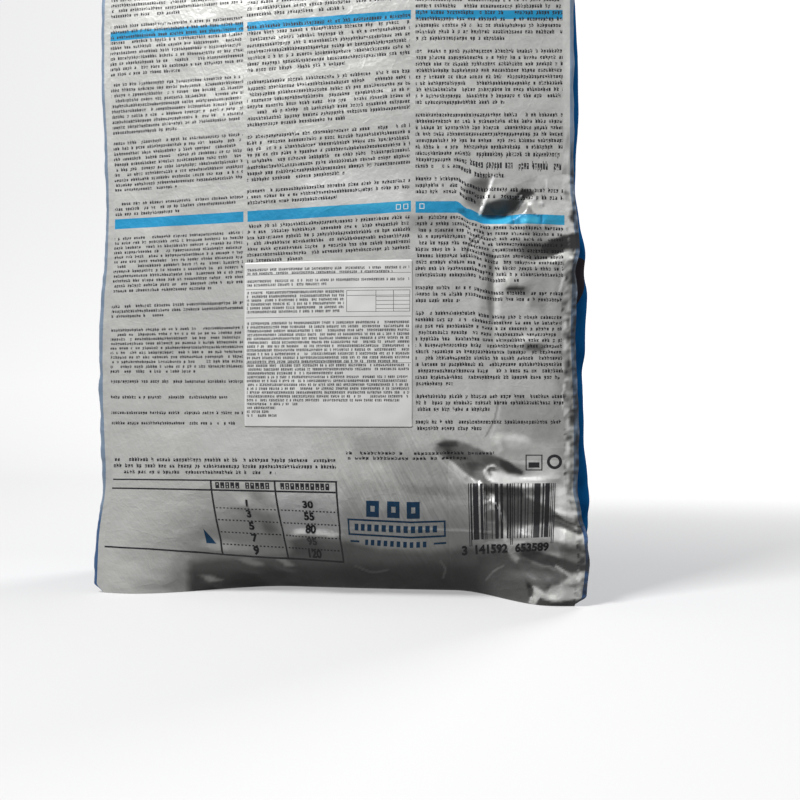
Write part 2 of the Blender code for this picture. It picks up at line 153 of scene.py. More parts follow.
# Painted shade and highlight of the back panel's film, laid one over another in the photograph's pixels: -1
# is painted shade of a hollow that only faces dark surroundings, 1 is a painted highlight of a crest that
# catches the light. Fields are closed outlines with a soft edge.
SHADE_FIELDS = (
    (((415, 226), (486, 232), (486, 436), (415, 430)), 9, 0.16),
    (((498, 258), (540, 262), (540, 428), (498, 432)), 9, 0.12),
    (((556, 262), (580, 262), (580, 482), (556, 482)), 8, -0.22),
    (((515, 398), (575, 398), (575, 440), (515, 440)), 9, -0.18),
    (((413, 176), (470, 176), (462, 200), (413, 200)), 7, 0.14),
    (((545, 176), (572, 176), (574, 236), (545, 232)), 6, 0.26),
    (((200, 425), (300, 428), (330, 470), (300, 480), (200, 450)), 10, 0.14),
    (((448, 462), (462, 470), (478, 486), (466, 500), (436, 494)), 5, -0.22),
    (((304, 176), (406, 176), (406, 204), (304, 208)), 10, 0.45),
    (((408, 214), (452, 215), (464, 238), (408, 232)), 5, -0.22),
    (((352, 436), (400, 436), (400, 462), (352, 458)), 7, -0.18),
    (((518, 256), (548, 256), (548, 300), (518, 300)), 7, -0.16),
    (((500, 404), (545, 404), (545, 440), (500, 440)), 8, -0.14),
    (((478, 474), (500, 480), (530, 477), (560, 475), (560, 483), (500, 484.5), (478, 484)), 2, -0.30),
    (((210, 494), (244, 500), (262, 530), (250, 546), (214, 530)), 6, 0.12),
    (((385, 448), (468, 446), (470, 480), (460, 496), (400, 496)), 10, -0.20),
    (((268, 490), (342, 490), (356, 530), (332, 535), (284, 533)), 8, 0.78),
    (((345, 500), (405, 496), (415, 545), (340, 545)), 10, 0.40),
    (((396, 500), (440, 500), (446, 520), (400, 526)), 9, 0.45),
    (((531, 415), (553, 420), (560, 436), (548, 443), (535, 437)), 6, -0.22),
    # Underside, with three paler places
    (((190, 562), (236, 557), (262, 557), (288, 555), (298, 542), (325, 538), (352, 541), (380, 549),
      (430, 552), (470, 547), (500, 549), (520, 553), (526, 600), (526, 620), (190, 620)), 5, -0.50),
    (((190, 573), (300, 567), (420, 563), (490, 566), (500, 604), (500, 620), (190, 620)), 6, -0.72),
    (((237, 558), (250, 557), (264, 563), (262, 566), (247, 563)), 2, 0.05),
    (((275, 557), (284, 557), (295, 565), (288, 566)), 2, 0.20),
    (((200, 575), (212, 575), (224, 580), (210, 582)), 2, -0.05),
    # Table
    (((250, 490), (258, 492), (272, 515), (288, 545), (280, 550), (264, 530), (252, 508)), 5, -0.12),
    (((262, 520), (270, 521), (276, 530), (270, 534), (263, 529)), 3, -0.34),
    (((290, 541), (303, 537), (320, 538), (324, 548), (316, 556), (296, 554)), 3.5, -0.60),
    # Crescent over the bars
    (((436, 444), (445, 440.5), (456, 440), (471, 445.5), (491, 454.5), (506, 460.5), (524, 472),
      (524, 475), (508, 473), (498, 468), (489.5, 469.5), (483, 478), (478, 483), (470, 483), (459.5, 471),
      (448, 461), (443, 449.5)), 2, -0.55),
    (((437, 443.5), (446, 441.3), (456, 441.5), (458, 446), (448, 447), (440, 446.5)), 1.5, -0.78),
    (((466, 463), (477, 462), (480, 472), (476, 479), (470, 476)), 3, -0.70),
    (((500, 461), (507, 461), (523, 472), (522, 475), (508, 472), (500, 467)), 1.5, -0.85),
    (((506, 438), (514, 435.5), (525, 437), (531, 443), (527, 449), (512, 450), (506, 446)), 3, 0.35),
    (((495, 441), (500, 442), (504, 450), (499, 453)), 1.5, 0.45),
    # Bars: pocket, hollow between the ridges, arch
    (((499.5, 484.5), (520, 486), (525, 496.5), (537, 501.5), (542.5, 505), (549.5, 507), (555.5, 513),
      (555.5, 521.5), (542.5, 524), (525, 526), (520, 535), (513, 537), (508, 528), (503, 511),
      (498.5, 501)), 2.2, -0.66),
    (((481.5, 481), (497.5, 482), (498.5, 490.5), (493.5, 499), (490, 495), (486.5, 496.5), (484, 489.5)),
      1.3, -0.65),
    (((484, 522), (502, 522), (503, 541), (484, 541)), 3, -0.38),
    (((484.5, 511), (495, 509.5), (496, 521), (485, 521)), 1.2, -0.50),
    (((508, 526), (554.5, 526), (555, 541), (508, 541)), 3, -0.48),
    (((474, 472), (488, 468), (492, 476), (490, 485), (481, 485), (476, 481)), 1.5, -0.60),
    (((483, 493), (496, 492), (497, 504), (485, 505)), 2, -0.35),
    (((553, 528.5), (568, 533), (580, 536), (568, 539.5), (567.5, 552.5), (551, 549)), 1.5, -0.10),
    (((560, 548), (588, 546), (588, 566), (560, 564)), 3, -0.50),
    (((555.5, 513), (564, 520), (581, 526.5), (578, 531), (564, 528.5), (553, 526.5), (552, 520)), 1.2,
      -0.62),
    (((558, 488), (565.5, 489.5), (571, 509.5), (571.5, 519), (561.5, 513), (557, 507.5)), 1.5, 0.42),
    # Folds and facets of the corner
    (((478, 557), (500, 553), (520, 556), (530, 562), (551, 569), (572, 575), (566, 580), (550, 588),
      (545, 593), (533, 586), (533, 600), (526, 604), (500, 596), (478, 592)), 3, -0.66),
    (((497, 557), (530, 563), (534, 586), (530, 602), (500, 600)), 5, -0.70),
    (((507, 546), (514, 546), (520, 558), (516, 563), (509, 556)), 2.5, -0.10),
    (((522.5, 545.5), (542.5, 552.5), (562, 558.5), (577, 563.5), (585, 557.5), (590, 557), (590, 570),
      (572.5, 574), (551, 568), (529.5, 561), (520, 556)), 2, -0.80),
    (((526, 570), (550, 569), (566, 577), (558, 584), (540, 583), (528, 580)), 3, -0.72),
    (((525, 578), (532, 586), (532, 598), (528.5, 599)), 1.2, -0.78),
    (((542.5, 582.5), (552, 584.5), (547.5, 591)), 1.2, -0.72),
    (((533, 586), (539, 589.5), (545, 594), (540, 597), (534, 599)), 1.0, 0.10),
    (((539, 597), (547, 593.5), (554.5, 588.5), (568.5, 579), (576, 594.5), (574.5, 599), (557, 602.5),
      (547.5, 601.5)), 1.0, -0.08),
    (((571, 577.5), (590, 573), (590, 596), (583, 595.5), (576, 589.5)), 1.2, -0.14),
    (((534.5, 605), (540, 597.5), (555.5, 602.5), (572, 600), (590, 596.5), (592, 612), (559.5, 612)), 1.0,
      -0.80),
    (((528.5, 602), (531.5, 599), (534, 605)), 0.8, 0.30),
    # Upper right: wedge, black hollow, silver crest, two hollows below them
    (((463, 187), (472, 180), (489, 178), (485, 196), (479.5, 212), (471, 208), (464, 198)), 3.5, -0.36),
    (((481, 213), (484.5, 204.5), (496, 200.5), (508.5, 199), (515, 196), (522.5, 189), (534, 190.5),
      (535, 195.5), (522.5, 198), (515, 207), (504.5, 213.5), (489.5, 215), (482, 215)), 1.5, -0.76),
    (((516, 194), (523, 189.5), (533, 191), (532, 195), (521, 196.5)), 1.2, -0.90),
    (((509.5, 214), (518.5, 204.5), (527.5, 202), (532.5, 211), (532.5, 214.5)), 1.2, -0.38),
    (((489, 217), (510, 216.5), (510, 223.6), (491, 223.6)), 1.5, 0.30),
    (((520, 218.5), (538, 217.5), (538, 223.6), (522, 223.6)), 1.5, 0.50),
    (((457, 208), (465, 209), (465, 214.6), (459, 213)), 1.0, -0.35),
    (((520, 241.5), (535, 238), (553, 239), (553, 254), (535, 255), (523, 253)), 4, -0.42),
    (((551, 240), (564.5, 235), (592, 231), (592, 248), (577, 247), (564.5, 249), (558, 253), (543, 251.5),
      (541, 247)), 2, -0.82),
    (((487, 251), (494, 256), (494.3, 322), (489.5, 322), (486.5, 300)), 2.2, -0.38),
    (((489.5, 322), (494, 322), (496, 369), (492, 369)), 2.5, -0.22),
    (((494.6, 276), (502, 274), (502, 320), (495, 322)), 2, 0.22),
    (((503, 276), (519, 276), (520, 285), (505, 286.5)), 2, -0.10),
    (((504.5, 289.5), (511, 286.5), (517.5, 286), (525, 288), (522.5, 291), (515, 291.8), (507, 291.2)),
      1.4, -0.82),
    (((527.5, 298), (540, 296), (546, 301), (543, 307), (531, 306)), 3.5, -0.36),
    (((525, 344), (538, 342.5), (545, 347), (540, 352), (527, 350)), 3.5, -0.42),
)
# Lines of painted shade and highlight are open paths with a half width and a soft edge.
SHADE_LINES = (
    (((447, 461.5), (458, 470.5), (469, 480), (479, 484.5)), 1.3, 1.6, -0.05),
    (((467, 479), (474, 482.5), (481, 485)), 1.8, 2.0, -0.34),
    (((485, 471), (489, 478), (503, 481.3), (524, 479), (558, 476.5)), 1.4, 1.6, -0.05),
    (((487, 468), (493, 466), (499, 470)), 0.5, 1.1, 0.15),
    (((479.5, 482.5), (484, 495), (487.5, 503.5)), 0.8, 1.0, 0.75),
    (((491, 495), (496, 503.5), (500.3, 512), (503, 523)), 0.9, 1.0, 0.95),
    (((484.5, 511), (485.7, 508.6), (490, 507.3), (495, 509), (496.4, 513)), 0.5, 0.8, 0.55),
    (((486, 500), (488, 497.2), (491, 498.5), (493, 503)), 0.4, 0.8, 0.50),
    (((556, 567), (571, 577.4), (576, 589.5), (583, 595.5)), 0.5, 1.8, -0.12),
    (((553, 514), (562, 522), (571, 528.5), (580, 531.5)), 1.5, 3.0, -0.70),
    (((440, 561), (445, 569), (443, 578)), 0.4, 1.2, -0.30),
    (((486, 580), (494, 571), (503, 566)), 0.4, 1.2, -0.40),
    (((356, 566), (372, 572), (388, 570)), 0.4, 1.2, -0.40),
    (((555, 519), (566, 523.5), (578, 528.5)), 0.6, 1.7, -0.38),
    (((330, 530.5), (372, 529.5), (404, 528.5), (450, 529.5), (480, 527)), 0.3, 0.8, 0.45),
    (((494, 176), (489, 189), (484, 200.5), (479.3, 213.5)), 1.0, 1.0, 1.00),
    (((479, 234), (469, 245.5), (463.8, 264.5)), 0.2, 0.9, -0.55),
    (((483, 235), (473.5, 246)), 0.3, 0.8, -0.60),
    (((519, 197.8), (521, 195)), 0.8, 0.7, 1.00),
    (((532.4, 199.8), (534, 198.4)), 0.7, 0.7, 1.00),
    (((541, 203), (542.2, 205.2)), 0.7, 0.7, 1.00),
    (((545.6, 180), (546, 187)), 0.5, 0.6, 0.90),
    (((527.5, 202), (531.4, 212), (538, 216)), 0.3, 0.7, -0.50),
    (((512, 215), (513.5, 224)), 0.4, 0.7, -0.35),
    (((541, 216), (541, 225)), 0.4, 0.7, -0.35),
    (((561, 262), (563, 276), (560, 290)), 0.5, 1.2, 0.45),
    (((563, 318), (566, 334), (564, 352)), 0.4, 1.2, 0.40),
    (((566, 380), (562, 396), (565, 414)), 0.4, 1.2, 0.35),
    (((566, 436), (569, 456), (566, 476)), 0.5, 1.2, 0.40),
    (((557, 380), (567, 400), (571, 424)), 0.3, 0.9, -0.30),
    (((498, 404), (494, 420), (486, 436)), 0.3, 1.0, -0.35),
    (((500, 405), (497, 421), (490, 438)), 0.3, 1.0, 0.35),
    (((574.5, 252), (573, 290), (573.5, 340), (575, 370)), 0.3, 0.7, -0.45),
)

# Layout of the back panel's print, in print pixels: left and right, then top and bottom
PRINT_COLUMNS = ((84.0, 243.5), (247.5, 411.0), (415.5, 564.5))
BLUE_BANDS = (
    (84.0, 243.5, 200.6, 211.4),
    (247.5, 411.0, 200.6, 211.6),
    (415.5, 564.5, 201.2, 212.8),
)
BAND_TAGS = (396.0, 403.4, 419.5)
PALE_FIELD = (448.0, 567.0, 461.0, 594.0)
TABLE_FRAME = (84.0, 337.0, 482.0, 567.5)
TABLE_LINE = 1.9
TABLE_RULES = (
    (84.0, 337.0, 493.3, 495.2),
    (273.6, 275.5, 482.0, 567.5),
    (209.8, 211.7, 482.0, 567.5),
)
TABLE_HEADS = ((215.0, 240.0), (245.0, 270.0), (280.0, 330.0))
BARS_LEFT = 468.0
BAR_WIDTH = 0.922
BARS_TOP = 484.0
BARS_BOTTOM = 543.0
GUARDS_BOTTOM = 549.5
GUARD_BARS = ((0.0, 1.0), (2.0, 3.0), (46.0, 47.0), (48.0, 49.0), (92.0, 93.0), (94.0, 95.0))
MARK_BLOCKS = ((366.0, 379.0, 502.0, 519.0), (387.0, 399.5, 502.0, 519.0), (406.5, 419.5, 502.0, 519.0))
MARK_HOLES = ((370.4, 374.6, 507.5, 513.5), (391.2, 395.4, 507.5, 513.5), (411.0, 415.0, 507.5, 513.5))
MARK_DASHES = ((347.0, 358.0, 543.5, 545.5), (433.0, 445.0, 543.5, 545.5))

# Columns of small print. A block is its first line's top, its last line's bottom and its last line's length.
PAGE_TOP = 176.0
PAGE_BOTTOM = 600.0
BLANK_TOP = -190.0
TEXT_COLUMNS = (
    {
        "left": 84.0, "width": 159.0, "pitch": 5.3, "top": 182.6, "stroke": 2.3, "seed": 1.0,
        "plain_rows": 11.0,
        "blocks": (
            (182.6, 198.5, 0.6), (219.7, 283.3, 0.8), (293.9, 309.8, 0.5), (320.4, 373.4, 0.7),
            (378.7, 384.0, 1.0), (394.6, 399.9, 0.9), (410.5, 415.8, 1.0), (421.1, 426.4, 0.95),
        ),
    },
    {
        "left": 247.0, "width": 163.0, "pitch": 6.1, "top": 177.0, "stroke": 2.6, "seed": 2.0,
        "plain_rows": 9.0,
        "blocks": ((177.0, 195.3, 0.55), (213.6, 256.3, 0.35)),
    },
    {
        "left": 415.5, "width": 148.0, "pitch": 6.4, "top": 175.6, "stroke": 2.7, "seed": 3.0,
        "plain_rows": 10.0,
        "blocks": (
            (175.6, 194.8, 0.5), (214.0, 278.0, 0.7), (284.4, 303.6, 0.3), (310.0, 386.8, 0.25),
            (393.2, 412.4, 0.5), (417.2, 431.6, 0.45),
        ),
    },
    {
        "left": 84.0, "width": 252.0, "pitch": 6.3, "top": 457.9, "stroke": 2.8, "seed": 4.0,
        "blocks": ((457.9, 476.8, 0.76),),
    },
    {
        "left": 346.0, "width": 148.0, "pitch": 5.0, "top": 451.0, "stroke": 3.6, "seed": 9.0,
        "blocks": ((451, 456, 1.0), (456, 461, 0.82)),
    },
)

# The paper label: its sheet in metres, then its print in hundredths of a side
LABEL_CORNER = 0.002
LABEL_THICKNESS = 0.00004
LABEL_LIFT = 0.00004
LABEL_CELLS = 110
LABEL_TEXT = {
    "left": 1.5, "width": 96.5, "pitch": 2.33, "top": 3.2, "stroke": 1.05, "seed": 6.0, "weight": 0.33,
    "span": (0.0, 100.0),
    "blocks": (
        (3, 8, 0.9), (9.5, 15.5, 0.5), (17.5, 32.0, 0.58), (34.5, 60.5, 0.93), (62.5, 69.5, 0.6),
        (69.5, 84.7, 0.94), (84.7, 87.0, 0.32), (87.0, 89.4, 0.18), (89.4, 91.7, 0.14), (91.7, 94.0, 0.19),
    ),
}
LABEL_RULES = ((7.4, 7.65), (16.2, 16.5), (33.4, 33.7), (61.2, 61.45))
LABEL_TABLE_RULES = ((61.5, 98.5, 20.8, 21.1), (78.6, 78.9, 17.8, 30.8), (88.8, 89.1, 17.8, 30.8))

# Plain numbers: text, its left end and its baseline in print pixels, and its height there
NUMBERS = (("3", 460.0, 557.5, 8.4), ("141592", 471.8, 557.0, 8.2), ("653589", 515.6, 557.0, 8.2))
TABLE_WEIGHTS = ("1", "3", "5", "7", "9")
TABLE_AMOUNTS = ("30", "55", "80", "95", "120")
WEIGHTS_LEFT = 242.0
AMOUNTS_MIDDLE = 306.0
TABLE_ROW = 12.9
FIRST_BASELINE = 512.3
TABLE_NUMBER_HEIGHT = 7.6
FONT_HEIGHT = 0.69
NUMBER_BOLDNESS = 0.045
INK_LIFT = 0.00026

# The back panel in the photograph's pixels: its middle, half its width and the share across of one pixel
PANEL_MIDDLE = 325.0
HALF_PANEL = 250.0
SHARE_A_PIXEL = 0.0038

# Crimp ribs of the top seal, in metres
SEAL_RIB_PITCH = 0.0031
SEAL_RIB_RADIUS = 0.0004
SEAL_RIB_COUNT = 10

# Colours
SILVER = (0.62, 0.62, 0.59, 1.0)
SILVER_SHADE = (0.50, 0.50, 0.48, 1.0)
# Painted highlight colour of the film, where the shade attribute is above 0
SILVER_PAINTED_HIGHLIGHT = (0.93, 0.93, 0.92, 1.0)
WHITE_FIELD = (0.84, 0.84, 0.82, 1.0)
PAPER_SHADE = (0.77, 0.77, 0.75, 1.0)
BLACK_INK = (0.012, 0.012, 0.015, 1.0)
BLACK_INK_LIGHT = (0.025, 0.025, 0.028, 1.0)
BAND_BLUE = (0.012, 0.29, 0.54, 1.0)
# Painted highlight colour of the blue bands
BAND_PAINTED_HIGHLIGHT = (0.10, 0.66, 0.90, 1.0)
MARK_BLUE = (0.004, 0.062, 0.15, 1.0)
GUSSET_BLUE = (0.005, 0.085, 0.29, 1.0)
GUSSET_LIGHT = (0.012, 0.160, 0.44, 1.0)
GUSSET_BLACK = (0.050, 0.044, 0.050, 1.0)
SEAL_EDGE = (0.11, 0.17, 0.26, 1.0)
SEAL_EDGE_LIGHT = (0.29, 0.37, 0.48, 1.0)
SEAL_EDGE_FOOT = (0.010, 0.075, 0.22, 1.0)
FLOOR_PALE = (0.42, 0.42, 0.42, 1.0)
FLOOR_BOUNCE = (0.06, 0.06, 0.06, 1.0)
BLACK = (0.0, 0.0, 0.0, 1.0)
WHITE = (1.0, 1.0, 1.0, 1.0)

# Finish of the film
FILM_ROUGHNESS = 0.30
GRAIN_ROUGHNESS = 0.16
INK_ROUGHNESS = 0.2
FILM_METAL = 0.14
FILM_GLOSS = 0.30
INK_GLOSS_LOSS = 0.9
COAT_ROUGHNESS = 0.16
GRAIN_STRENGTH = 0.75
# Power of the painted shade that darkens the film's colour in hollows
PAINTED_SHADE_POWER = 1.5
STRIAE_SHADE = 0.9
CALM_STRIATIONS = 0.16
DRAWN_STRIATIONS = 0.9
STRIATION_LEAN = radians(-27)
FOOT_TOP = 56.0
FOOT_FULL = 46.0

# Material slots of the bag's film
BACK, BLUE, PLAIN, EDGE = range(4)

# Sets the front's places on the print apart from those of the gussets, in millimetres
FRONT_PLACE = 1000.0

# Floor and backdrop, in metres
SWEEP_RADIUS = 0.6
FLOOR_HALF_WIDTH = 1.8
FLOOR_DROP = 0.0002
SURROUND = (0.93, 0.95, 1.0, 1.0)

# Lamps: name, place, the point that it faces, size and power
LAMPS = (
    ("key", (-0.55, -0.80, 1.38), (0.03, -0.06, 0.15), 0.40, 31.5),
    ("rear", (0.8, 1.3, 1.2), (0.0, 0.0, 0.25), 0.6, 24.0),
    ("side", (0.85, -0.20, 0.45), (0.15, -0.05, 0.15), 0.4, 0.7),
)

# How the film bends its print, in the photograph's pixels: slopes left and right of the ridge at a height,
# the dip on the right with its share and sideways shift at a height, and the lean of the lowest part
RIDGE = 411.0
LEFT_SLOPE = (
    (178.0, -0.075), (207.0, -0.065), (300.0, -0.035), (385.0, 0.0),
    (470.0, 0.006), (492.0, 0.022), (515.0, 0.050), (556.0, 0.068),
)
RIGHT_SLOPE = ((430.0, 0.0), (484.0, -0.008), (545.0, -0.050))
DIP = ((456.0, 0.0), (468.0, 7.5), (480.0, 12.0), (564.0, 14.0))
DIP_SHARE = (
    (150.0, 0.0), (178.0, 0.8), (215.0, 1.0), (229.0, 0.84), (252.0, 0.56), (291.0, 0.45), (365.0, 0.0),
)
DIP_SHIFT = ((205.0, 0.0), (240.0, 8.0), (262.0, 16.0), (400.0, 18.0))
FOOT_LEAN = ((200.0, 14.0), (275.0, 14.5), (340.0, 7.0), (372.0, 0.0), (470.0, 2.0), (556.0, -3.0))


def ease(start, end, value):
    """A smooth step from 0 at start to 1 at end."""
    share = np.clip((value - start) / (end - start), 0.0, 1.0)
    return share * share * (3.0 - 2.0 * share)


def along(points, value):
    """A smooth curve through (place, height) points, level outside them."""
    places = np.array([place for place, _ in points])
    heights = np.array([height for _, height in points])
    index = np.clip(np.searchsorted(places, value) - 1, 0, len(places) - 2)
    share = ease(places[index], places[index + 1], value)
    return heights[index] + (heights[index + 1] - heights[index]) * share


def noise(u, v, size, seed):
    """Smooth noise from about -1 to 1, with features of a given size."""
    turns = np.random.default_rng(seed).uniform(0.0, 2.0 * pi, (64, 64))
    x = np.asarray(u) / size
    y = np.asarray(v) / size
    column = np.floor(x).astype(int)
    row = np.floor(y).astype(int)
    total = 0.0
    for right in (0, 1):
        for up in (0, 1):
            angle = turns[(column + right) % 64, (row + up) % 64]
            dx = x - column - right
            dy = y - row - up
            weight = ease(0.0, 1.0, 1.0 - np.abs(dx)) * ease(0.0, 1.0, 1.0 - np.abs(dy))
            total = total + weight * (np.cos(angle) * dx + np.sin(angle) * dy)
    return total * 1.6


def facets(u, v, size, seed):
    """Crumpled relief of flat triangles with sharp edges, from -1 to 1."""
    heights = np.random.default_rng(seed).uniform(-1.0, 1.0, (64, 64))
    x = u / size + 0.45 * noise(u, v, size * 1.7, seed + 1)
    y = v / size + 0.45 * noise(u, v, size * 1.7, seed + 2)
    column = np.floor(x).astype(int)
    row = np.floor(y).astype(int)
    dx = x - column
    dy = y - row
    low = heights[column % 64, row % 64]
    high = heights[(column + 1) % 64, (row + 1) % 64]
    side = heights[(column + 1) % 64, row % 64]
    top = heights[column % 64, (row + 1) % 64]
    lower = low + dx * (side - low) + dy * (high - side)
    upper = low + dx * (high - top) + dy * (top - low)
    return np.where(dx > dy, lower, upper)


def curve_through(points, steps=6):
    """A smooth path through given points."""
    points = [np.array(point, float) for point in points]
    ends = [2 * points[0] - points[1]] + points + [2 * points[-1] - points[-2]]
    path = []
    for before, start, end, after in zip(ends, ends[1:], ends[2:], ends[3:]):
        for step in range(steps):
            t = step / steps
            bend = (2 * before - 5 * start + 4 * end - after) * t * t
            twist = (3 * start - before - 3 * end + after) * t**3
            path.append(0.5 * (2 * start + (end - before) * t + bend + twist))
    return path + [points[-1]]


def from_path(points, u, v):
    """How far each place lies from a smooth path, and its share along it.

    The distance is positive on the path's right-hand side.
    """
    path = curve_through(points)
    nearest = np.full(np.shape(u), 1e9)
    side = np.ones(np.shape(u))
    share = np.zeros(np.shape(u))
    for index, (start, end) in enumerate(zip(path, path[1:])):
        run = end - start
        du = u - start[0]
        dv = v - start[1]
        place = np.clip((du * run[0] + dv * run[1]) / (run @ run), 0.0, 1.0)
        gap = np.hypot(du - place * run[0], dv - place * run[1])
        closer = gap < nearest
        nearest = np.where(closer, gap, nearest)
        side = np.where(closer, np.sign(run[0] * dv - run[1] * du), side)
        share = np.where(closer, (index + place) / (len(path) - 1), share)
    return nearest * side, share


def close_to(points, reach, u, v):
    """Which places lie inside the box round some points, widened by a reach."""
    across = [point[0] for point in points]
    down = [point[1] for point in points]
    within = (u > min(across) - reach) & (u < max(across) + reach)
    return within & (v > min(down) - reach) & (v < max(down) + reach)


def fold_height(folds, u, v):
    """Summed height of a list of folds in millimetres."""
    total = np.zeros(np.shape(u))
    for path, left_width, right_width, height in folds:
        near = close_to(path, max(left_width, right_width), u, v)
        if not near.any():
            continue
        gap, place = from_path(path, u[near], v[near])
        width = np.where(gap < 0, left_width, right_width)
        slope = np.clip(1.0 - np.abs(gap) / width, 0.0, 1.0)
        ends = ease(0.0, 0.3, place) * ease(0.0, 0.3, 1.0 - place)
        total[near] += height * (0.45 * slope + 0.55 * ease(0.0, 1.0, slope)) * (0.12 + 0.88 * ends)
    return total


def into_outline(outline, u, v):
    """How far each place lies inside a closed outline, negative outside it."""
    nearest = np.full(np.shape(u), 1e9)
    inside = np.zeros(np.shape(u), bool)
    for (u0, v0), (u1, v1) in zip(outline, outline[1:] + outline[:1]):
        run_u = u1 - u0
        run_v = v1 - v0
        place = np.clip(((u - u0) * run_u + (v - v0) * run_v) / (run_u**2 + run_v**2), 0.0, 1.0)
        nearest = np.minimum(nearest, np.hypot(u - u0 - place * run_u, v - v0 - place * run_v))
        if v0 != v1:
            inside ^= ((v0 > v) != (v1 > v)) & (u < u0 + (v - v0) * run_u / run_v)
    return np.where(inside, nearest, -nearest)


def film_shade(u, v):
    """Painted shade and highlight of the film at places given in the photograph's pixels, from -1 to 1."""
    total = np.zeros(np.shape(u))
    bent_u = u + 0.9 * noise(u, v, 7.0, 31)
    bent_v = v + 0.9 * noise(u, v, 7.0, 32)
    for outline, soft, value in SHADE_FIELDS:
        near = close_to(outline, soft + 2, u, v)
        if near.any():
            weight = ease(-soft, soft, into_outline(outline, bent_u[near], bent_v[near]))
            total[near] += weight * (value - total[near])
    for path, half_width, soft, value in SHADE_LINES:
        near = close_to(path, half_width + soft, u, v)
        if near.any():
            gap, _ = from_path(path, u[near], v[near])
            weight = 1.0 - ease(half_width, half_width + soft, np.abs(gap))
            total[near] += weight * (value - total[near])
    return total


def photo_place(x, y, z):
    """Where a point shows in the photograph, in pixels."""
    right = cos(CAMERA_TURN), sin(CAMERA_TURN)
    ahead = -sin(CAMERA_TURN), cos(CAMERA_TURN)
    dx = x - CAMERA_TARGET[0]
    dy = y - CAMERA_TARGET[1]
    depth = CAMERA_DISTANCE + dx * ahead[0] + dy * ahead[1]
    u = PHOTO_MIDDLE + FOCAL_PIXELS * (dx * right[0] + dy * right[1]) / depth
    v = PHOTO_MIDDLE - FOCAL_PIXELS * (z - CAMERA_TARGET[2]) / depth
    return u, v


def half_depth(z):
    """Half the distance between the main panels at the fins."""
    closed = np.clip((z - SHOULDER_HEIGHT) / (SEAL_BASE - SHOULDER_HEIGHT), 0.0, 1.0) ** 1.35
    return HALF_DEPTH * (1.0 - closed) + TOP_SEAL_THICKNESS / 2 * closed


def body(z):
    """How full the bag is at a height: 1 in the contents, falling to 0 at the top seal."""
    settled = 0.6 + 0.4 * ease(0.0, 0.22 * SHOULDER_HEIGHT, z)
    return settled * (1.0 - ease(0.72 * SHOULDER_HEIGHT, SEAL_BASE, z))


def turn(z):
    """How far the film has turned under at a height: 1 on the floor, 0 above the turn."""
    return np.maximum(1.0 - z / TURN_HEIGHT, 0.0) ** TURN_STEEPNESS


def corner_sway(side_x, side_y, z):
    """Outward shift of one fin's root at a height."""
    top = 1.0 - ease(SHOULDER_HEIGHT, SEAL_BASE, z)
    if side_x > 0 and side_y < 0:
        return along(RIGHT_SWAY, z) * top
    flare = CORNER_FLARE * (1.0 - ease(0.030, 0.085, z))
    wave = 0.0016 * np.sin(31.0 * z + 2.1 * side_x + 0.9 * side_y)
    return (flare + wave) * top


def seal_wave(x, z):
    """Sideways wave of the empty top, which grows towards the seal."""
    return SEAL_SWAY * np.sin(pi * x / HALF_WIDTH + 0.6) * ease(SHOULDER_HEIGHT, SEAL_BASE, z)


def panel_base(side_y, share, z):
    """A main panel before its folds: x and y for shares from -1 at -X to 1 at +X."""
    left = -HALF_WIDTH - corner_sway(-1, side_y, z)
    right = HALF_WIDTH + corner_sway(1, side_y, z)
    x = left + (right - left) * (share + 1.0) / 2
    bulge = (BACK_BULGE if side_y < 0 else FRONT_BULGE) * body(z) * (1.0 - share * share)
    from_root = (1.0 - np.abs(share)) * HALF_WIDTH
    spread = np.where((share > 0) & (side_y < 0), EAR_SPREAD_RIGHT, EAR_SPREAD_PLAIN)
    inset = TURN_INSET * turn(z) * ease(EAR_WIDTH, EAR_WIDTH + spread, from_root)
    y = side_y * (half_depth(z) + bulge - inset) + seal_wave(x, z)
    return x, y


def back_relief(u, v):
    """Height of the back panel's folds in metres, at places given in the photograph's pixels."""
    total = fold_height(UPPER_FOLDS + LOWER_FOLDS + TABLE_FOLDS, u, v)
    edge = ease(540, 578, u)
    corner = ease(500, 560, u) * ease(480, 545, v)
    pinch = np.exp(-(((u - 515) / 48) ** 2) - (((v - 220) / 40) ** 2))
    low = ease(545, 572, v)
    total += 1.1 * facets(u, v, 17.0, 11) * np.clip(0.3 * edge + corner + 0.6 * pinch + 0.6 * low, 0, 1.2)
    total += 0.45 * facets(u, v, 8.0, 14) * np.clip(edge + corner + pinch + 0.4 * low, 0, 1.2)
    total += 0.35 * noise(u, v, 34.0, 21) + 0.16 * noise(u, v, 15.0, 22)
    return total / 1000


def plain_relief(across, z, seed):
    """Folds of a panel that the photograph doesn't show, in metres. Both places are in metres."""
    upper = ease(SHOULDER_HEIGHT - 0.06, SEAL_BASE - 0.02, z)
    total = 0.0012 * noise(across, z, 0.050, seed) + 0.0004 * noise(across, z, 0.016, seed + 1)
    total = total + 0.0024 * upper * facets(across * 1000, z * 600, 34.0, seed + 2)
    return total + 0.0008 * facets(across * 1000, z * 1000, 14.0, seed + 4) * (0.25 + upper)


def row_heights():
    """Heights of the surface's rows, close together where the film is most creased."""
    floor = np.linspace(0.0, 0.004, 4)[:-1]
    creased = np.arange(0.004, 0.108, 0.00098)
    calm = np.arange(0.108, 0.212, 0.0021)
    pinched = np.arange(0.212, 0.262, 0.00105)
    plain = np.arange(0.262, SEAL_BASE - 0.004, 0.0052)
    seal = np.linspace(SEAL_BASE, BAG_HEIGHT, 5)
    return np.concatenate([floor, creased, calm, pinched, plain, [SEAL_BASE - 0.0012], seal])[:, None]


def back_shares():
    """Places across the back panel, close together in its creased right part."""
    left = np.arange(-HALF_WIDTH, -0.105, 0.0035)
    calm = np.arange(-0.105, 0.033, 0.0021)
    creased = np.linspace(0.033, HALF_WIDTH, 114)
    return (np.concatenate([left, calm, creased]) / HALF_WIDTH)[None, :]


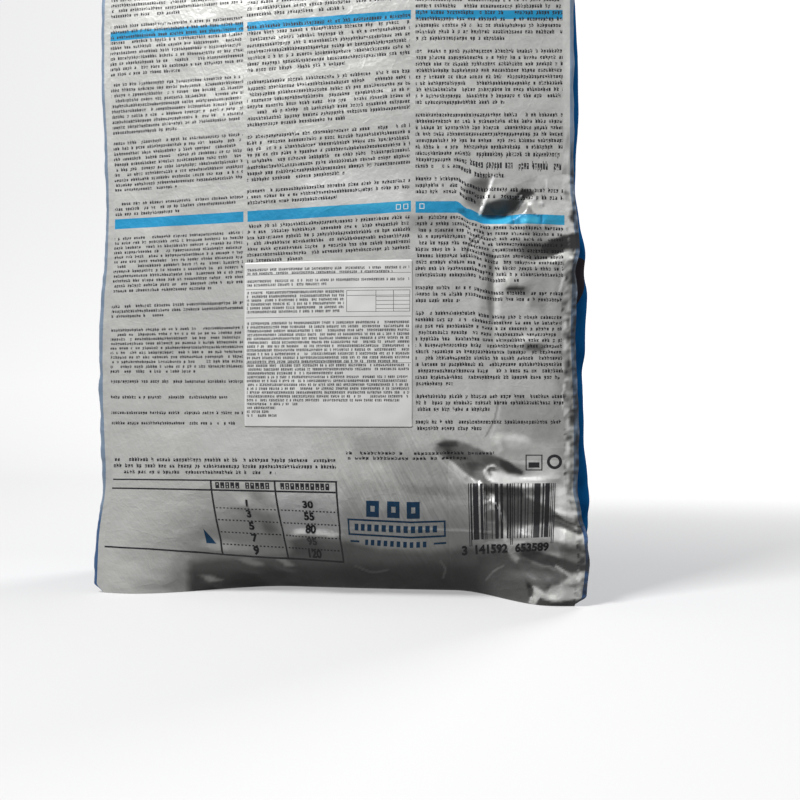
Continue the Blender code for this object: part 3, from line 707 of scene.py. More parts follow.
def back_panel(z):
    """Points of the back panel and their places in the photograph."""
    share = back_shares()
    x, y = panel_base(-1, share, z)
    u, v = photo_place(x, y, z)
    fade = ease(0.0, 0.003, z) * (1.0 - ease(SEAL_BASE - 0.02, SEAL_BASE, z)) * (1.0 - share**24)
    upper = ease(0.27, 0.33, z)
    left = 1.0 - ease(150, 230, u)
    plain = plain_relief(x, z, 40) * np.clip(upper + left, 0, 1)
    relief = (back_relief(u, v) * (1.0 - 0.7 * upper) + plain) * fade
    relief = relief + edge_relief(z) * np.where(share > 0, share**24, 0.0)
    return np.stack([x, y - relief, z + 0 * x], -1), np.stack([u, v], -1)


def front_panel(z):
    """Points of the front panel, from +X to -X, and their places on it in millimetres."""
    share = np.linspace(1.0, -1.0, 50)[None, :]
    x, y = panel_base(1, share, z)
    fade = ease(0.0, EAR_HEIGHT, z) * (1.0 - ease(SEAL_BASE - 0.02, SEAL_BASE, z)) * (1.0 - share**8)
    relief = plain_relief(x, z, 60) * fade
    place = np.stack([FRONT_PLACE - 1000 * x, 1000 * (z + 0 * x)], -1)
    return np.stack([x, y + relief, z + 0 * x], -1), place


def gusset(side_x, z):
    """Points of one gusset, from the back to the front on +X and back again on -X."""
    share = np.linspace(-1.0, 1.0, 27)[None, :] * side_x
    back = HALF_WIDTH + corner_sway(side_x, -1, z)
    front = HALF_WIDTH + corner_sway(side_x, 1, z)
    root = back + (front - back) * (share + 1.0) / 2
    swell = along(RIGHT_SWELL, z) if side_x > 0 else 1.0
    closed = np.where(z >= SEAL_BASE - 1e-6, 0.0, 1.0)
    bulge = GUSSET_BULGE * swell * body(z) * (1.0 - share**4)
    crease = GUSSET_CREASE * np.exp(-np.abs(share * HALF_DEPTH / CREASE_WIDTH)) * body(z)
    inset = GUSSET_TURN_INSET * turn(z) * (1.0 - share**4)
    tuck = GUSSET_TUCK * ease(SHOULDER_HEIGHT, SEAL_BASE, z) * (1.0 - np.abs(share)) * closed
    y = share * (half_depth(z) - FIN_THICKNESS * closed)
    fade = ease(0.0, EAR_HEIGHT, z) * (1.0 - ease(SHOULDER_HEIGHT, SEAL_BASE - 0.03, z)) * (1.0 - share**6)
    relief = plain_relief(y, z, 80 + side_x) * fade
    x = side_x * (root + bulge - crease - inset - tuck + relief)
    place = np.stack([1000 * (y + HALF_DEPTH), 1000 * (z + 0 * y)], -1)
    if side_x > 0:
        y = y - edge_relief(z) * ease(0.55, 1.0, -share)
    return np.stack([x, y + seal_wave(x, z), z + 0 * x], -1), place


def edge_relief(z):
    """How far the right back fin follows the folds of the panel beside it, in metres."""
    x, y = panel_base(-1, np.ones((1, 1)), z)
    u, v = photo_place(x, y, z)
    fade = ease(0.0, 0.004, z) * (1.0 - ease(0.255, 0.285, z))
    return 0.75 * back_relief(u - 3.0, v) * fade


def fin(side_x, side_y, z):
    """Points round one fin: outer root, outer edge, inner edge and inner root, and places along it."""
    root = HALF_WIDTH + corner_sway(side_x, side_y, z)
    extra = BACK_FIN_EXTRA if side_y < 0 else 0.0
    wide = FIN_WIDTH + extra * ease(0.055, 0.085, z) * (1.0 - ease(0.190, 0.215, z))
    width = wide * ease(0.0, EAR_HEIGHT, z) * (1.0 - ease(SEAL_BASE - FIN_FADE, SEAL_BASE, z))
    thickness = np.minimum(FIN_THICKNESS, half_depth(z) - TUCK_GAP / 2)
    thickness = np.where(z >= SEAL_BASE - 1e-6, 0.0, thickness)
    outer = side_y * half_depth(z)
    inner = side_y * (half_depth(z) - thickness)
    wave = seal_wave(side_x * root, z)
    if side_x > 0 and side_y < 0:
        wave = wave - edge_relief(z)
    seed = 90 + 2 * side_x + side_y
    curl = 0.0011 * noise(z, 0.0 * z, 0.026, seed) + 0.0007 * noise(z, 0.0 * z, 0.009, seed + 10)
    curl = curl + 0.0004 * noise(z, 0.0 * z, 0.0045, seed + 30)
    ragged = 1.0 + 0.10 * noise(z, 0.0 * z, 0.014, seed + 20)
    columns = [(share, outer) for share in (0.0, 0.25, 0.5, 0.72, 0.92)]
    columns += [(1.12, inner), (0.5, inner), (0.0, inner)]
    points = []
    places = []
    for share, y in columns:
        reach = width * share * (ragged if share > 0.9 else 1.0)
        points.append(np.concatenate([side_x * (root + reach), y + wave + curl * share * share, z], 1))
        places.append(np.concatenate([1000 * wide * share, 1000 * z], 1))
    if side_x * side_y > 0:
        points.reverse()
        places.reverse()
    return np.stack(points, 1), np.stack(places, 1)


class Surface:
    """Gathers grids of faces with their own places on the print, and joins them into one mesh."""

    def __init__(self):
        self.points = []
        self.places = []
        self.faces = []
        self.slots = []
        self.shades = []
        self.count = 0

    def add(self, points, places, slot, shade=0.0):
        rows, columns = points.shape[:2]
        index = self.count + np.arange(rows * columns).reshape(rows, columns)
        faces = np.stack([index[:-1, :-1], index[:-1, 1:], index[1:, 1:], index[1:, :-1]], -1).reshape(-1, 4)
        self.points.append(points.reshape(-1, 3))
        self.places.append(places.reshape(-1, 2))
        self.faces.append(faces)
        row_slots = list(slot) if isinstance(slot, tuple) else [slot] * (columns - 1)
        self.slots += row_slots * (rows - 1)
        self.shades.append(np.broadcast_to(shade, (rows, columns)).ravel())
        self.count += rows * columns

    def make(self, name, materials):
        points = np.concatenate(self.points)
        places = np.concatenate(self.places)
        faces = np.concatenate(self.faces)
        mesh = bpy.data.meshes.new(name)
        mesh.from_pydata(points.tolist(), [], faces.tolist())
        layer = mesh.uv_layers.new(name="print")
        layer.data.foreach_set("uv", places[faces.ravel()].astype(np.float32).ravel())
        mesh.polygons.foreach_set("material_index", self.slots)
        shade = mesh.attributes.new("shade", "FLOAT", "POINT")
        shade.data.foreach_set("value", np.concatenate(self.shades).astype(np.float32))
        for material in materials:
            mesh.materials.append(material)
        return mesh


def warp_print(places):
    """Print places from photograph pixels: level lines and upright edges where the film makes them slope."""
    u = places[..., 0]
    v = places[..., 1]
    left_slope = along(LEFT_SLOPE, v)
    right_slope = along(RIGHT_SLOPE, v)
    shift = along(DIP_SHIFT, v)
    dip = along(DIP, u - shift) * along(DIP_SHARE, v)
    from_ridge = u - RIDGE
    drop = np.where(from_ridge < 0, left_slope, right_slope) * from_ridge + dip
    lean = along(FOOT_LEAN, u) * np.clip((v - 481.0) / 75.0, 0.0, 1.6) ** 1.4
    return np.stack([u - lean, v - drop], -1)


def set_socket(tree, socket, value):
    """Links a socket to another one, or gives it a plain value."""
    if isinstance(value, bpy.types.NodeSocket):
        tree.links.new(value, socket)
    else:
        socket.default_value = value


def add_node(tree, kind, inputs, settings):
    """Adds a node with its settings and inputs to a tree."""
    node = tree.nodes.new(kind)
    for name, value in settings.items():
        setattr(node, name, value)
    for name, value in (inputs or {}).items():
        set_socket(tree, node.inputs[name], value)
    return node


class Board:
    """Adds and links the nodes of one shader tree."""

    def __init__(self, tree):
        self.tree = tree

    def add(self, kind, inputs=None, **settings):
        return add_node(self.tree, kind, inputs, settings)

    def put(self, socket, value):
        set_socket(self.tree, socket, value)

    def math(self, operation, first, second=0.0, third=None):
        node = self.add("ShaderNodeMath", {0: first, 1: second}, operation=operation)
        if third is not None:
            self.put(node.inputs[2], third)
        return node.outputs[0]

    def product(self, *values):
        total = values[0]
        for value in values[1:]:
            total = self.math("MULTIPLY", total, value)
        return total

    def either(self, *values):
        total = values[0]
        for value in values[1:]:
            total = self.math("MAXIMUM", total, value)
        return total

    def between(self, value, low, high):
        """1 where a value lies between two limits."""
        return self.product(self.math("GREATER_THAN", value, low), self.math("LESS_THAN", value, high))

    def spans(self, value, limits):
        """1 where a value lies between any of several pairs of limits."""
        return self.either(*(self.between(value, low, high) for low, high in limits))

    def box(self, u, v, left, right, top, bottom):
        return self.product(self.between(u, left, right), self.between(v, top, bottom))

    def boxes(self, u, v, rows):
        """1 inside any of several boxes."""
        return self.either(*(self.box(u, v, *row) for row in rows))

    def frame_line(self, u, v, left, right, top, bottom, width):
        """The outline of a box, inside its edges."""
        inner = self.box(u, v, left + width, right - width, top + width, bottom - width)
        return self.math("SUBTRACT", self.box(u, v, left, right, top, bottom), inner)

    def stripes(self, value, pitch, share):
        """1 in the first share of each pitch."""
        return self.math("LESS_THAN", self.math("FRACT", self.math("DIVIDE", value, pitch)), share)

    def chance(self, number):
        """A value from 0 to 1 that differs from number to number."""
        node = self.add("ShaderNodeTexWhiteNoise", {"W": number}, noise_dimensions="1D")
        return node.outputs["Value"]

    def steps(self, value, stops, low, high):
        """A value that holds steady between stops given as (place, value)."""
        share = self.math("DIVIDE", self.math("SUBTRACT", value, low), high - low)
        node = self.add("ShaderNodeValToRGB", {"Fac": share})
        ramp = node.color_ramp
        ramp.interpolation = "CONSTANT"
        while len(ramp.elements) < len(stops):
            ramp.elements.new(1.0)
        for element, (place, level) in zip(ramp.elements, stops):
            element.position = (place - low) / (high - low)
            element.color = (level, level, level, 1.0)
        return node.outputs["Color"]

    def blend(self, kind, share, first, second):
        node = self.add("ShaderNodeMix", {0: share, 6: first, 7: second}, data_type="RGBA", blend_type=kind)
        return node.outputs[2]

    def mix(self, share, first, second):
        return self.blend("MIX", share, first, second)

    def soft_noise(self, place, scale, detail=3.0):
        """Soft noise from 0 to 1 at a place."""
        node = self.add("ShaderNodeTexNoise", {"Vector": place, "Scale": scale, "Detail": detail})
        return node.outputs["Fac"]

    def seen(self):
        """1 for rays from the camera, a mirror or a clear surface, and 0 for light on the object."""
        ray = self.add("ShaderNodeLightPath").outputs
        return self.either(ray["Is Camera Ray"], ray["Is Glossy Ray"], ray["Is Transmission Ray"])


def new_group(name, inputs, outputs):
    """An empty shader group with named inputs and outputs, and its board."""
    group = bpy.data.node_groups.new(name, "ShaderNodeTree")
    for label, kind, value in inputs:
        socket = group.interface.new_socket(label, in_out="INPUT", socket_type=kind)
        if value is not None:
            socket.default_value = value
    for label, kind in outputs:
        group.interface.new_socket(label, in_out="OUTPUT", socket_type=kind)
    board = Board(group)
    entry = board.add("NodeGroupInput")
    leave = board.add("NodeGroupOutput")
    return group, board, entry.outputs, leave.inputs


def make_small_print():
    """Rows of small strokes that read as printed lines from a step away and spell nothing."""
    group, board, given, result = new_group(
        "small_print",
        (
            ("Place", "NodeSocketVector", None),
            ("Line pitch", "NodeSocketFloat", 6.0),
            ("Top", "NodeSocketFloat", 0.0),
            ("Stroke", "NodeSocketFloat", 2.6),
            ("Seed", "NodeSocketFloat", 0.0),
            ("Weight", "NodeSocketFloat", 0.25),
        ),
        (("Ink", "NodeSocketFloat"), ("Line middle", "NodeSocketFloat")),
    )
    place = board.add("ShaderNodeSeparateXYZ", {0: given["Place"]})
    line = board.math("DIVIDE", board.math("SUBTRACT", place.outputs[1], given["Top"]), given["Line pitch"])
    row = board.math("FLOOR", line)
    within = board.math("FRACT", line)
    letter = board.math("MULTIPLY_ADD", row, 0.37, board.math("DIVIDE", place.outputs[0], given["Stroke"]))
    cell = board.math("FLOOR", letter)
    inner = board.math("FRACT", letter)
    small_column = board.math("FLOOR", board.math("MULTIPLY", inner, 4.0))
    small_row = board.math("FLOOR", board.math("MULTIPLY", within, 8.0))

    def speckle(across, down, seed):
        spot = board.add("ShaderNodeCombineXYZ", {0: across, 1: down, 2: seed})
        return board.add("ShaderNodeTexWhiteNoise", {"Vector": spot.outputs[0]}).outputs["Value"]

    across = board.math("MULTIPLY_ADD", cell, 4.0, small_column)
    down = board.math("MULTIPLY_ADD", row, 8.0, small_row)
    stroke = board.math("GREATER_THAN", speckle(across, down, given["Seed"]), 0.15)
    word = board.math("GREATER_THAN", speckle(cell, row, board.math("ADD", given["Seed"], 5.0)), 0.16)
    gap = board.math("LESS_THAN", small_column, 2.5)
    tall = speckle(cell, row, board.math("ADD", given["Seed"], 9.0))
    upper = board.product(board.math("LESS_THAN", tall, 0.34), board.between(within, 0.12, 0.34))
    lower = board.product(board.math("GREATER_THAN", tall, 0.86), board.between(within, 0.74, 0.92))
    upright = board.math("LESS_THAN", small_column, 0.5)
    outlier = board.product(board.either(upper, lower), upright)
    from_middle = board.math("ABSOLUTE", board.math("SUBTRACT", within, 0.53))
    body = board.math("LESS_THAN", from_middle, given["Weight"])
    letters = board.either(board.product(stroke, body), outlier)
    board.put(result["Ink"], board.product(letters, word, gap))
    middle = board.math("MULTIPLY", board.math("ADD", row, 0.5), given["Line pitch"])
    board.put(result["Line middle"], board.math("ADD", middle, given["Top"]))
    return group


SMALL_PRINT = make_small_print()


def text_column(
    board, place, u, left, width, pitch, top, stroke, seed, blocks,
    plain_rows=0.0, span=(PAGE_TOP, PAGE_BOTTOM), weight=0.25,
):
    """A column of small print. Each block is (first line's top, last line's bottom, length of its last line).

    Above the blocks, paragraphs of plain_rows lines go on to the top of the panel.
    """
    lines = board.add(
        "ShaderNodeGroup",
        {"Place": place, "Line pitch": pitch, "Top": top, "Stroke": stroke, "Seed": seed, "Weight": weight},
        node_tree=SMALL_PRINT,
    )
    middle = lines.outputs["Line middle"]
    stops = [(span[0], 0.0)]
    for first, last, short in blocks:
        if last - pitch > first + 1.0:
            stops.append((first, 1.0))
        stops += [(max(last - pitch, first), short), (last, 0.0)]
    length = board.steps(middle, stops, *span)
    if plain_rows:
        count = board.math("DIVIDE", board.math("SUBTRACT", PAGE_TOP, middle), pitch * plain_rows)
        part = board.math("FRACT", count)
        full = board.math("GREATER_THAN", part, 2.0 / plain_rows)
        last = board.product(board.between(part, 1.0 / plain_rows, 2.0 / plain_rows), 0.6)
        plain = board.product(board.either(full, last), board.between(middle, BLANK_TOP, PAGE_TOP))
        length = board.either(board.product(length, board.math("GREATER_THAN", middle, PAGE_TOP)), plain)
    end = board.math("MULTIPLY_ADD", length, width, left)
    return board.product(lines.outputs["Ink"], board.between(u, left, end))


def make_film_grain():
    """Fine surface of the film: drawn striations, creases and a soft unevenness. Height is in millimetres."""
    group, board, given, result = new_group(
        "film_grain",
        (("Place", "NodeSocketVector", None), ("Striations", "NodeSocketFloat", 1.0)),
        (("Height", "NodeSocketFloat"), ("Shade", "NodeSocketFloat"), ("Striae", "NodeSocketFloat")),
    )
    place = given["Place"]
    lean = board.add(
        "ShaderNodeMapping",
        {"Vector": place, "Rotation": (0.0, 0.0, STRIATION_LEAN), "Scale": (1.0, 14.0, 1.0)},
        vector_type="TEXTURE",
    )
    lines = board.soft_noise(lean.outputs[0], 0.42, 1.0)
    fine = board.add("ShaderNodeTexNoise", {"Vector": place, "Scale": 0.09, "Detail": 5.0, "Roughness": 0.62})
    cracks = board.add("ShaderNodeTexVoronoi", {"Vector": place, "Scale": 0.035}, feature="DISTANCE_TO_EDGE")
    crack = board.math("SUBTRACT", 1.0, board.math("MULTIPLY", cracks.outputs["Distance"], 26.0))
    crack = board.math("MAXIMUM", crack, 0.0)
    striae = board.product(board.math("SUBTRACT", lines, 0.5), given["Striations"])
    height = board.math("MULTIPLY", striae, 0.55)
    height = board.math("MULTIPLY_ADD", fine.outputs["Fac"], 0.75, height)
    height = board.math("MULTIPLY_ADD", crack, 0.05, height)
    board.put(result["Height"], height)
    board.put(result["Shade"], fine.outputs["Fac"])
    board.put(result["Striae"], striae)
    return group


FILM_GRAIN = make_film_grain()


def new_material(name):
    """A node material, its board, its Principled shader and the place on the print."""
    material = bpy.data.materials.new(name)
    material.use_nodes = True
    board = Board(material.node_tree)
    shader = material.node_tree.nodes["Principled BSDF"]
    place = board.add("ShaderNodeUVMap", uv_map="print").outputs["UV"]
    return material, board, shader, place


def film_finish(board, shader, place, striations, base, ink, gloss):
    """Colour, gloss, metal and relief that every face of the film has.

    Ink hides the metal and dulls the gloss. The shade attribute paints shade into the colour of hollows,
    and takes their metal and gloss away.
    """
    grain = board.add("ShaderNodeGroup", {"Place": place, "Striations": striations}, node_tree=FILM_GRAIN)
    relief = {"Height": grain.outputs["Height"], "Strength": GRAIN_STRENGTH, "Distance": 0.001}
    bump = board.add("ShaderNodeBump", relief)
    board.put(shader.inputs["Normal"], bump.outputs["Normal"])
    shade = board.add("ShaderNodeAttribute", attribute_name="shade").outputs["Fac"]
    # Painted shade: below 0 the shade attribute darkens the colour, and takes away metal and gloss
    hollow = board.math("MAXIMUM", board.math("MULTIPLY", shade, -1.0), 0.0)
    left_over = board.math("SUBTRACT", 1.0, hollow)
    level = board.math("POWER", left_over, PAINTED_SHADE_POWER)
    level = board.product(level, board.math("MULTIPLY_ADD", grain.outputs["Striae"], STRIAE_SHADE, 1.0))
    tint = board.add("ShaderNodeCombineXYZ", {0: level, 1: level, 2: level}).outputs[0]
    board.put(shader.inputs["Base Color"], board.blend("MULTIPLY", 1.0, base, tint))
    rough = board.math("MULTIPLY_ADD", grain.outputs["Shade"], GRAIN_ROUGHNESS, FILM_ROUGHNESS)
    board.put(shader.inputs["Roughness"], board.math("MULTIPLY_ADD", ink, INK_ROUGHNESS, rough))
    metal = board.product(board.math("MULTIPLY_ADD", ink, -FILM_METAL, FILM_METAL), left_over)
    board.put(shader.inputs["Metallic"], metal)
    coat = board.product(left_over, board.math("MULTIPLY_ADD", ink, -INK_GLOSS_LOSS, 1.0), gloss)
    board.put(shader.inputs["Coat Weight"], coat)
    shader.inputs["Coat Roughness"].default_value = COAT_ROUGHNESS


def painted_highlight(board):
    """How strongly the shade attribute paints a highlight into the film's colour."""
    shade = board.add("ShaderNodeAttribute", attribute_name="shade").outputs["Fac"]
    return board.math("MAXIMUM", shade, 0.0)


def print_small_text(board, place, u):
    """The small print: the text columns, the note over the table and the dotted code beside it."""
    parts = [text_column(board, place, u, **column) for column in TEXT_COLUMNS]
    return board.either(*parts)


def print_table(board, u, v):
    """The table's frame, rules, dotted rows and blocks in its head."""
    left, right, top, bottom = TABLE_FRAME
    frame_line = board.frame_line(u, v, left, right, top, bottom, TABLE_LINE)
    rules = board.boxes(u, v, TABLE_RULES)
    rows = board.math("FRACT", board.math("DIVIDE", board.math("SUBTRACT", v, 502.2), 13.2))
    dots = board.product(board.stripes(u, 3.6, 0.55), board.box(u, v, 210.0, 336.0, 510.0, 560.0))
    dotted = board.product(board.math("LESS_THAN", rows, 0.11), dots)
    cell = board.math("DIVIDE", u, 5.0)
    inner = board.math("FRACT", cell)
    pick = board.chance(board.math("FLOOR", cell))
    upper_hole = board.product(board.math("GREATER_THAN", pick, 0.35), board.between(v, 486.6, 488.2))
    lower_hole = board.product(board.math("LESS_THAN", pick, 0.70), board.between(v, 489.6, 491.2))
    hole = board.product(board.between(inner, 0.28, 0.50), board.either(upper_hole, lower_hole))
    heads = board.product(
        board.math("LESS_THAN", inner, 0.78),
        board.math("SUBTRACT", 1.0, hole),
        board.between(v, 485.0, 492.2),
        board.spans(u, TABLE_HEADS),
    )
    return board.either(frame_line, rules, dotted, heads)


def print_bars(board, u, v):
    """Bars of chance widths between three pairs of longer ones."""
    bar_u = board.math("DIVIDE", board.math("SUBTRACT", u, BARS_LEFT), BAR_WIDTH)
    drawn = board.math("GREATER_THAN", board.chance(board.math("FLOOR", bar_u)), 0.46)
    bars = board.product(drawn, board.box(bar_u, v, 3.0, 92.0, BARS_TOP, BARS_BOTTOM))
    guards = board.product(board.spans(bar_u, GUARD_BARS), board.between(v, BARS_TOP, GUARDS_BOTTOM))
    return board.either(bars, guards)


def print_small_marks(board, u, v):
    """Two plain marks above the bars: a square and a ring."""
    square = board.frame_line(u, v, 525.5, 542.5, 455.0, 471.5, 1.2)
    filling = board.box(u, v, 528.5, 539.5, 463.0, 468.5)
    across = board.math("POWER", board.math("SUBTRACT", u, 554.5), 2.0)
    down = board.math("POWER", board.math("SUBTRACT", v, 462.5), 2.0)
    ring = board.between(board.math("SQRT", board.math("ADD", across, down)), 4.6, 7.6)
    return board.either(square, filling, ring)


def print_block_mark(board, u, v):
    """A plain mark of three hollow blocks over a ticked plate and a row of dashes."""
    blocks = board.math("SUBTRACT", board.boxes(u, v, MARK_BLOCKS), board.boxes(u, v, MARK_HOLES))
    plate = board.frame_line(u, v, 345.0, 445.0, 521.5, 538.5, 1.9)
    ticks = board.product(board.box(u, v, 352.0, 438.0, 526.5, 533.5), board.stripes(u, 7.2, 0.6))
    short = board.product(board.box(u, v, 365.0, 427.0, 542.0, 547.5), board.stripes(u, 6.4, 0.55))
    return board.either(blocks, plate, ticks, board.boxes(u, v, MARK_DASHES), short)


def print_wedge(board, u, v):
    """A small blue wedge at the left of the table."""
    slant = board.math("MULTIPLY", board.math("SUBTRACT", v, 540.0), 0.62)
    inside = board.math("LESS_THAN", board.math("SUBTRACT", u, 196.0), slant)
    return board.product(board.box(u, v, 196.0, 206.0, 540.0, 556.0), inside)


def drawn_striations(board, u, v):
    """How strongly the film is striated: most round the block mark, least far from it."""
    across = board.math("ABSOLUTE", board.math("SUBTRACT", u, 405.0))
    down = board.math("ABSOLUTE", board.math("SUBTRACT", v, 495.0))
    near_across = board.math("MAXIMUM", board.math("MULTIPLY_ADD", across, -1 / 110.0, 1.0), 0.0)
    near_down = board.math("MAXIMUM", board.math("MULTIPLY_ADD", down, -1 / 90.0, 1.0), 0.0)
    near = board.product(near_across, near_down)
    return board.math("MULTIPLY_ADD", near, DRAWN_STRIATIONS, CALM_STRIATIONS)


def make_back_film():
    """Metallised film of the back panel with its print, and painted shade, highlights and glints from the
    shade attribute.
    """
    material, board, shader, place = new_material("back_film")
    parts = board.add("ShaderNodeSeparateXYZ", {0: place})
    u = parts.outputs[0]
    v = parts.outputs[1]
    black = board.either(
        print_small_text(board, place, u),
        print_table(board, u, v),
        print_bars(board, u, v),
        print_small_marks(board, u, v),
    )
    blue = board.either(print_block_mark(board, u, v), print_wedge(board, u, v))
    band = board.boxes(u, v, BLUE_BANDS)
    upper_band = board.product(board.between(v, 10.0, 19.0), board.spans(u, PRINT_COLUMNS))
    tags = board.either(*(board.frame_line(u, v, left, left + 4.8, 203.4, 208.8, 0.7) for left in BAND_TAGS))
    field = board.box(u, v, *PALE_FIELD)

    soft = board.add("ShaderNodeTexNoise", {"Vector": place, "Scale": 0.012, "Detail": 3.0})
    base = board.mix(soft.outputs["Fac"], SILVER_SHADE, SILVER)
    base = board.mix(board.math("MULTIPLY", field, 0.55), base, WHITE_FIELD)
    # Painted highlight: the shade attribute above 0 brightens the film and the blue bands.
    painted_highlight_share = painted_highlight(board)
    base = board.mix(painted_highlight_share, base, SILVER_PAINTED_HIGHLIGHT)
    base = board.mix(board.either(band, upper_band), base, board.mix(painted_highlight_share, BAND_BLUE, BAND_PAINTED_HIGHLIGHT))
    base = board.mix(tags, base, WHITE_FIELD)
    base = board.mix(blue, base, MARK_BLUE)
    base = board.mix(black, base, BLACK_INK)
    # Painted glint: where the shade attribute is above 0.8, a painted highlight covers the print.
    painted_glint = board.math("MULTIPLY", board.math("SUBTRACT", painted_highlight_share, 0.8), 5.0)
    base = board.mix(board.math("MINIMUM", board.math("MAXIMUM", painted_glint, 0.0), 0.9), base, SILVER_PAINTED_HIGHLIGHT)
    pale = board.either(board.math("MULTIPLY", band, 0.6), board.math("MULTIPLY", field, 0.35))
    inked = board.either(black, blue, pale)
    film_finish(board, shader, place, drawn_striations(board, u, v), base, inked, FILM_GLOSS)
    shader.inputs["Specular IOR Level"].default_value = 0.35
    return material


def make_blue_film():
    """Printed film of the gussets and the front: blue, and with a plain black field on each gusset."""
    material, board, shader, place = new_material("blue_film")
    parts = board.add("ShaderNodeSeparateXYZ", {0: place})
    along_side = parts.outputs[0]
    height = parts.outputs[1]
    front = board.math("GREATER_THAN", along_side, FRONT_PLACE / 2)
    rise = board.math("MULTIPLY_ADD", along_side, -0.9, height)
    field = board.product(
        board.math("GREATER_THAN", rise, 172.0),
        board.math("LESS_THAN", height, 213.0),
        board.math("SUBTRACT", 1.0, front),
    )
    base = board.mix(board.soft_noise(place, 0.05), GUSSET_BLUE, GUSSET_LIGHT)
    base = board.mix(field, base, GUSSET_BLACK)
    film_finish(board, shader, place, 0.3, base, 1.0, front)
    shader.inputs["Specular IOR Level"].default_value = 0.0
    return material


def make_plain_film(name, colour, shade, foot=None):
    """Unprinted film of the fins, the base and the top seal, patterned by its place on the bag, with a
    painted highlight and painted shade where the shade attribute is set.

    Where a foot colour is given, the film takes it near the floor.
    """
    material, board, shader, _ = new_material(name)
    spot = board.add("ShaderNodeTexCoord").outputs["Object"]
    to_mm = (1000.0, 1000.0, 1000.0)
    place = board.add("ShaderNodeVectorMath", {0: spot, 1: to_mm}, operation="MULTIPLY").outputs[0]
    # Painted highlight where the shade attribute is above 0; painted shade is added in film_finish
    base = board.mix(painted_highlight(board), board.mix(board.soft_noise(place, 0.05), shade, colour), SILVER_PAINTED_HIGHLIGHT)
    if foot:
        height = board.add("ShaderNodeSeparateXYZ", {0: place}).outputs[2]
        low = board.add("ShaderNodeMapRange", {"Value": height, "From Min": FOOT_TOP, "From Max": FOOT_FULL})
        base = board.mix(board.math("MULTIPLY", low.outputs[0], 0.9), base, foot)
    film_finish(board, shader, place, 0.2, base, 0.0, FILM_GLOSS)
    return material


def make_number_ink():
    """Black ink of the plain numbers, slightly uneven."""
    material, board, shader, _ = new_material("number_ink")
    spot = board.add("ShaderNodeTexCoord").outputs["Object"]
    uneven = board.soft_noise(spot, 600.0, 2.0)
    board.put(shader.inputs["Base Color"], board.mix(uneven, BLACK_INK, BLACK_INK_LIGHT))
    board.put(shader.inputs["Roughness"], board.math("MULTIPLY_ADD", uneven, 0.2, 0.3))
    shader.inputs["Specular IOR Level"].default_value = 0.2
    return material


def make_label_paper():
    """White label stock with rows of small print, rules and a small table."""
    material, board, shader, place = new_material("label_paper")
    parts = board.add("ShaderNodeSeparateXYZ", {0: place})
    u = parts.outputs[0]
    v = parts.outputs[1]
    text = text_column(board, place, u, **LABEL_TEXT)
    rules = board.product(board.spans(v, LABEL_RULES), board.between(u, 1.0, 99.0))
    clear = board.box(u, v, 60.0, 99.0, 17.0, 31.5)
    rows = board.product(board.box(u, v, 78.8, 98.5, 21.0, 30.8), board.stripes(v, 2.4, 0.12))
    cells = board.either(
        board.frame_line(u, v, 61.5, 98.5, 17.8, 30.8, 0.3), board.boxes(u, v, LABEL_TABLE_RULES), rows
    )
    ink = board.either(board.product(text, board.math("SUBTRACT", 1.0, clear)), rules, cells)
    fibre = board.soft_noise(place, 1.6, 4.0)
    base = board.mix(board.math("MULTIPLY", ink, 0.95), board.mix(fibre, PAPER_SHADE, WHITE_FIELD), BLACK_INK)
    board.put(shader.inputs["Base Color"], base)
    bump = board.add("ShaderNodeBump", {"Height": fibre, "Strength": 0.08, "Distance": 0.0002})
    board.put(shader.inputs["Normal"], bump.outputs["Normal"])
    board.put(shader.inputs["Roughness"], board.math("MULTIPLY_ADD", fibre, 0.1, 0.5))
    return material


PLAIN_FILM = make_plain_film("plain_film", SILVER, SILVER_SHADE)


def merge_seams(model):
    """Joins the vertices that lie on one another, which closes the seams between grids."""
    bmesh.ops.remove_doubles(model, verts=model.verts, dist=SEAM_GAP)


def finish_mesh(name, mesh):
    """Merges a mesh's seams, shades it and puts it in the frame as a riding piece."""
    model = bmesh.new()
    model.from_mesh(mesh)
    merge_seams(model)
    model.to_mesh(mesh)
    model.free()
    mesh.shade_smooth()
    mesh.set_sharp_from_angle(angle=radians(55))
    piece = bpy.data.objects.new(name, mesh)
    bpy.context.scene.collection.objects.link(piece)
    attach(piece, "root")
    return piece


def close_end(model, height, slot):
    """Closes the film's open rim at a height with faces of one material slot."""
    rim = [
        edge
        for edge in model.edges
        if len(edge.link_faces) == 1 and all(abs(vertex.co.z - height) < 1e-5 for vertex in edge.verts)
    ]
    made = bmesh.ops.contextual_create(model, geom=rim)["faces"]
    for face in made:
        face.material_index = slot
    bmesh.ops.triangulate(model, faces=made, ngon_method="EAR_CLIP")


def painted_fin_crumples(u, v):
    """Painted shade and highlight of fine crumples on the right back fin, at places given in the photograph's
    pixels.
    """
    crumpled = 0.6 * noise(u, v, 5.0, 51) + 0.5 * noise(u * 2.5, v, 15.0, 52) - 0.18
    return crumpled - 0.16 * ease(568.5, 572.5, u) * (1.0 - ease(490, 520, v))


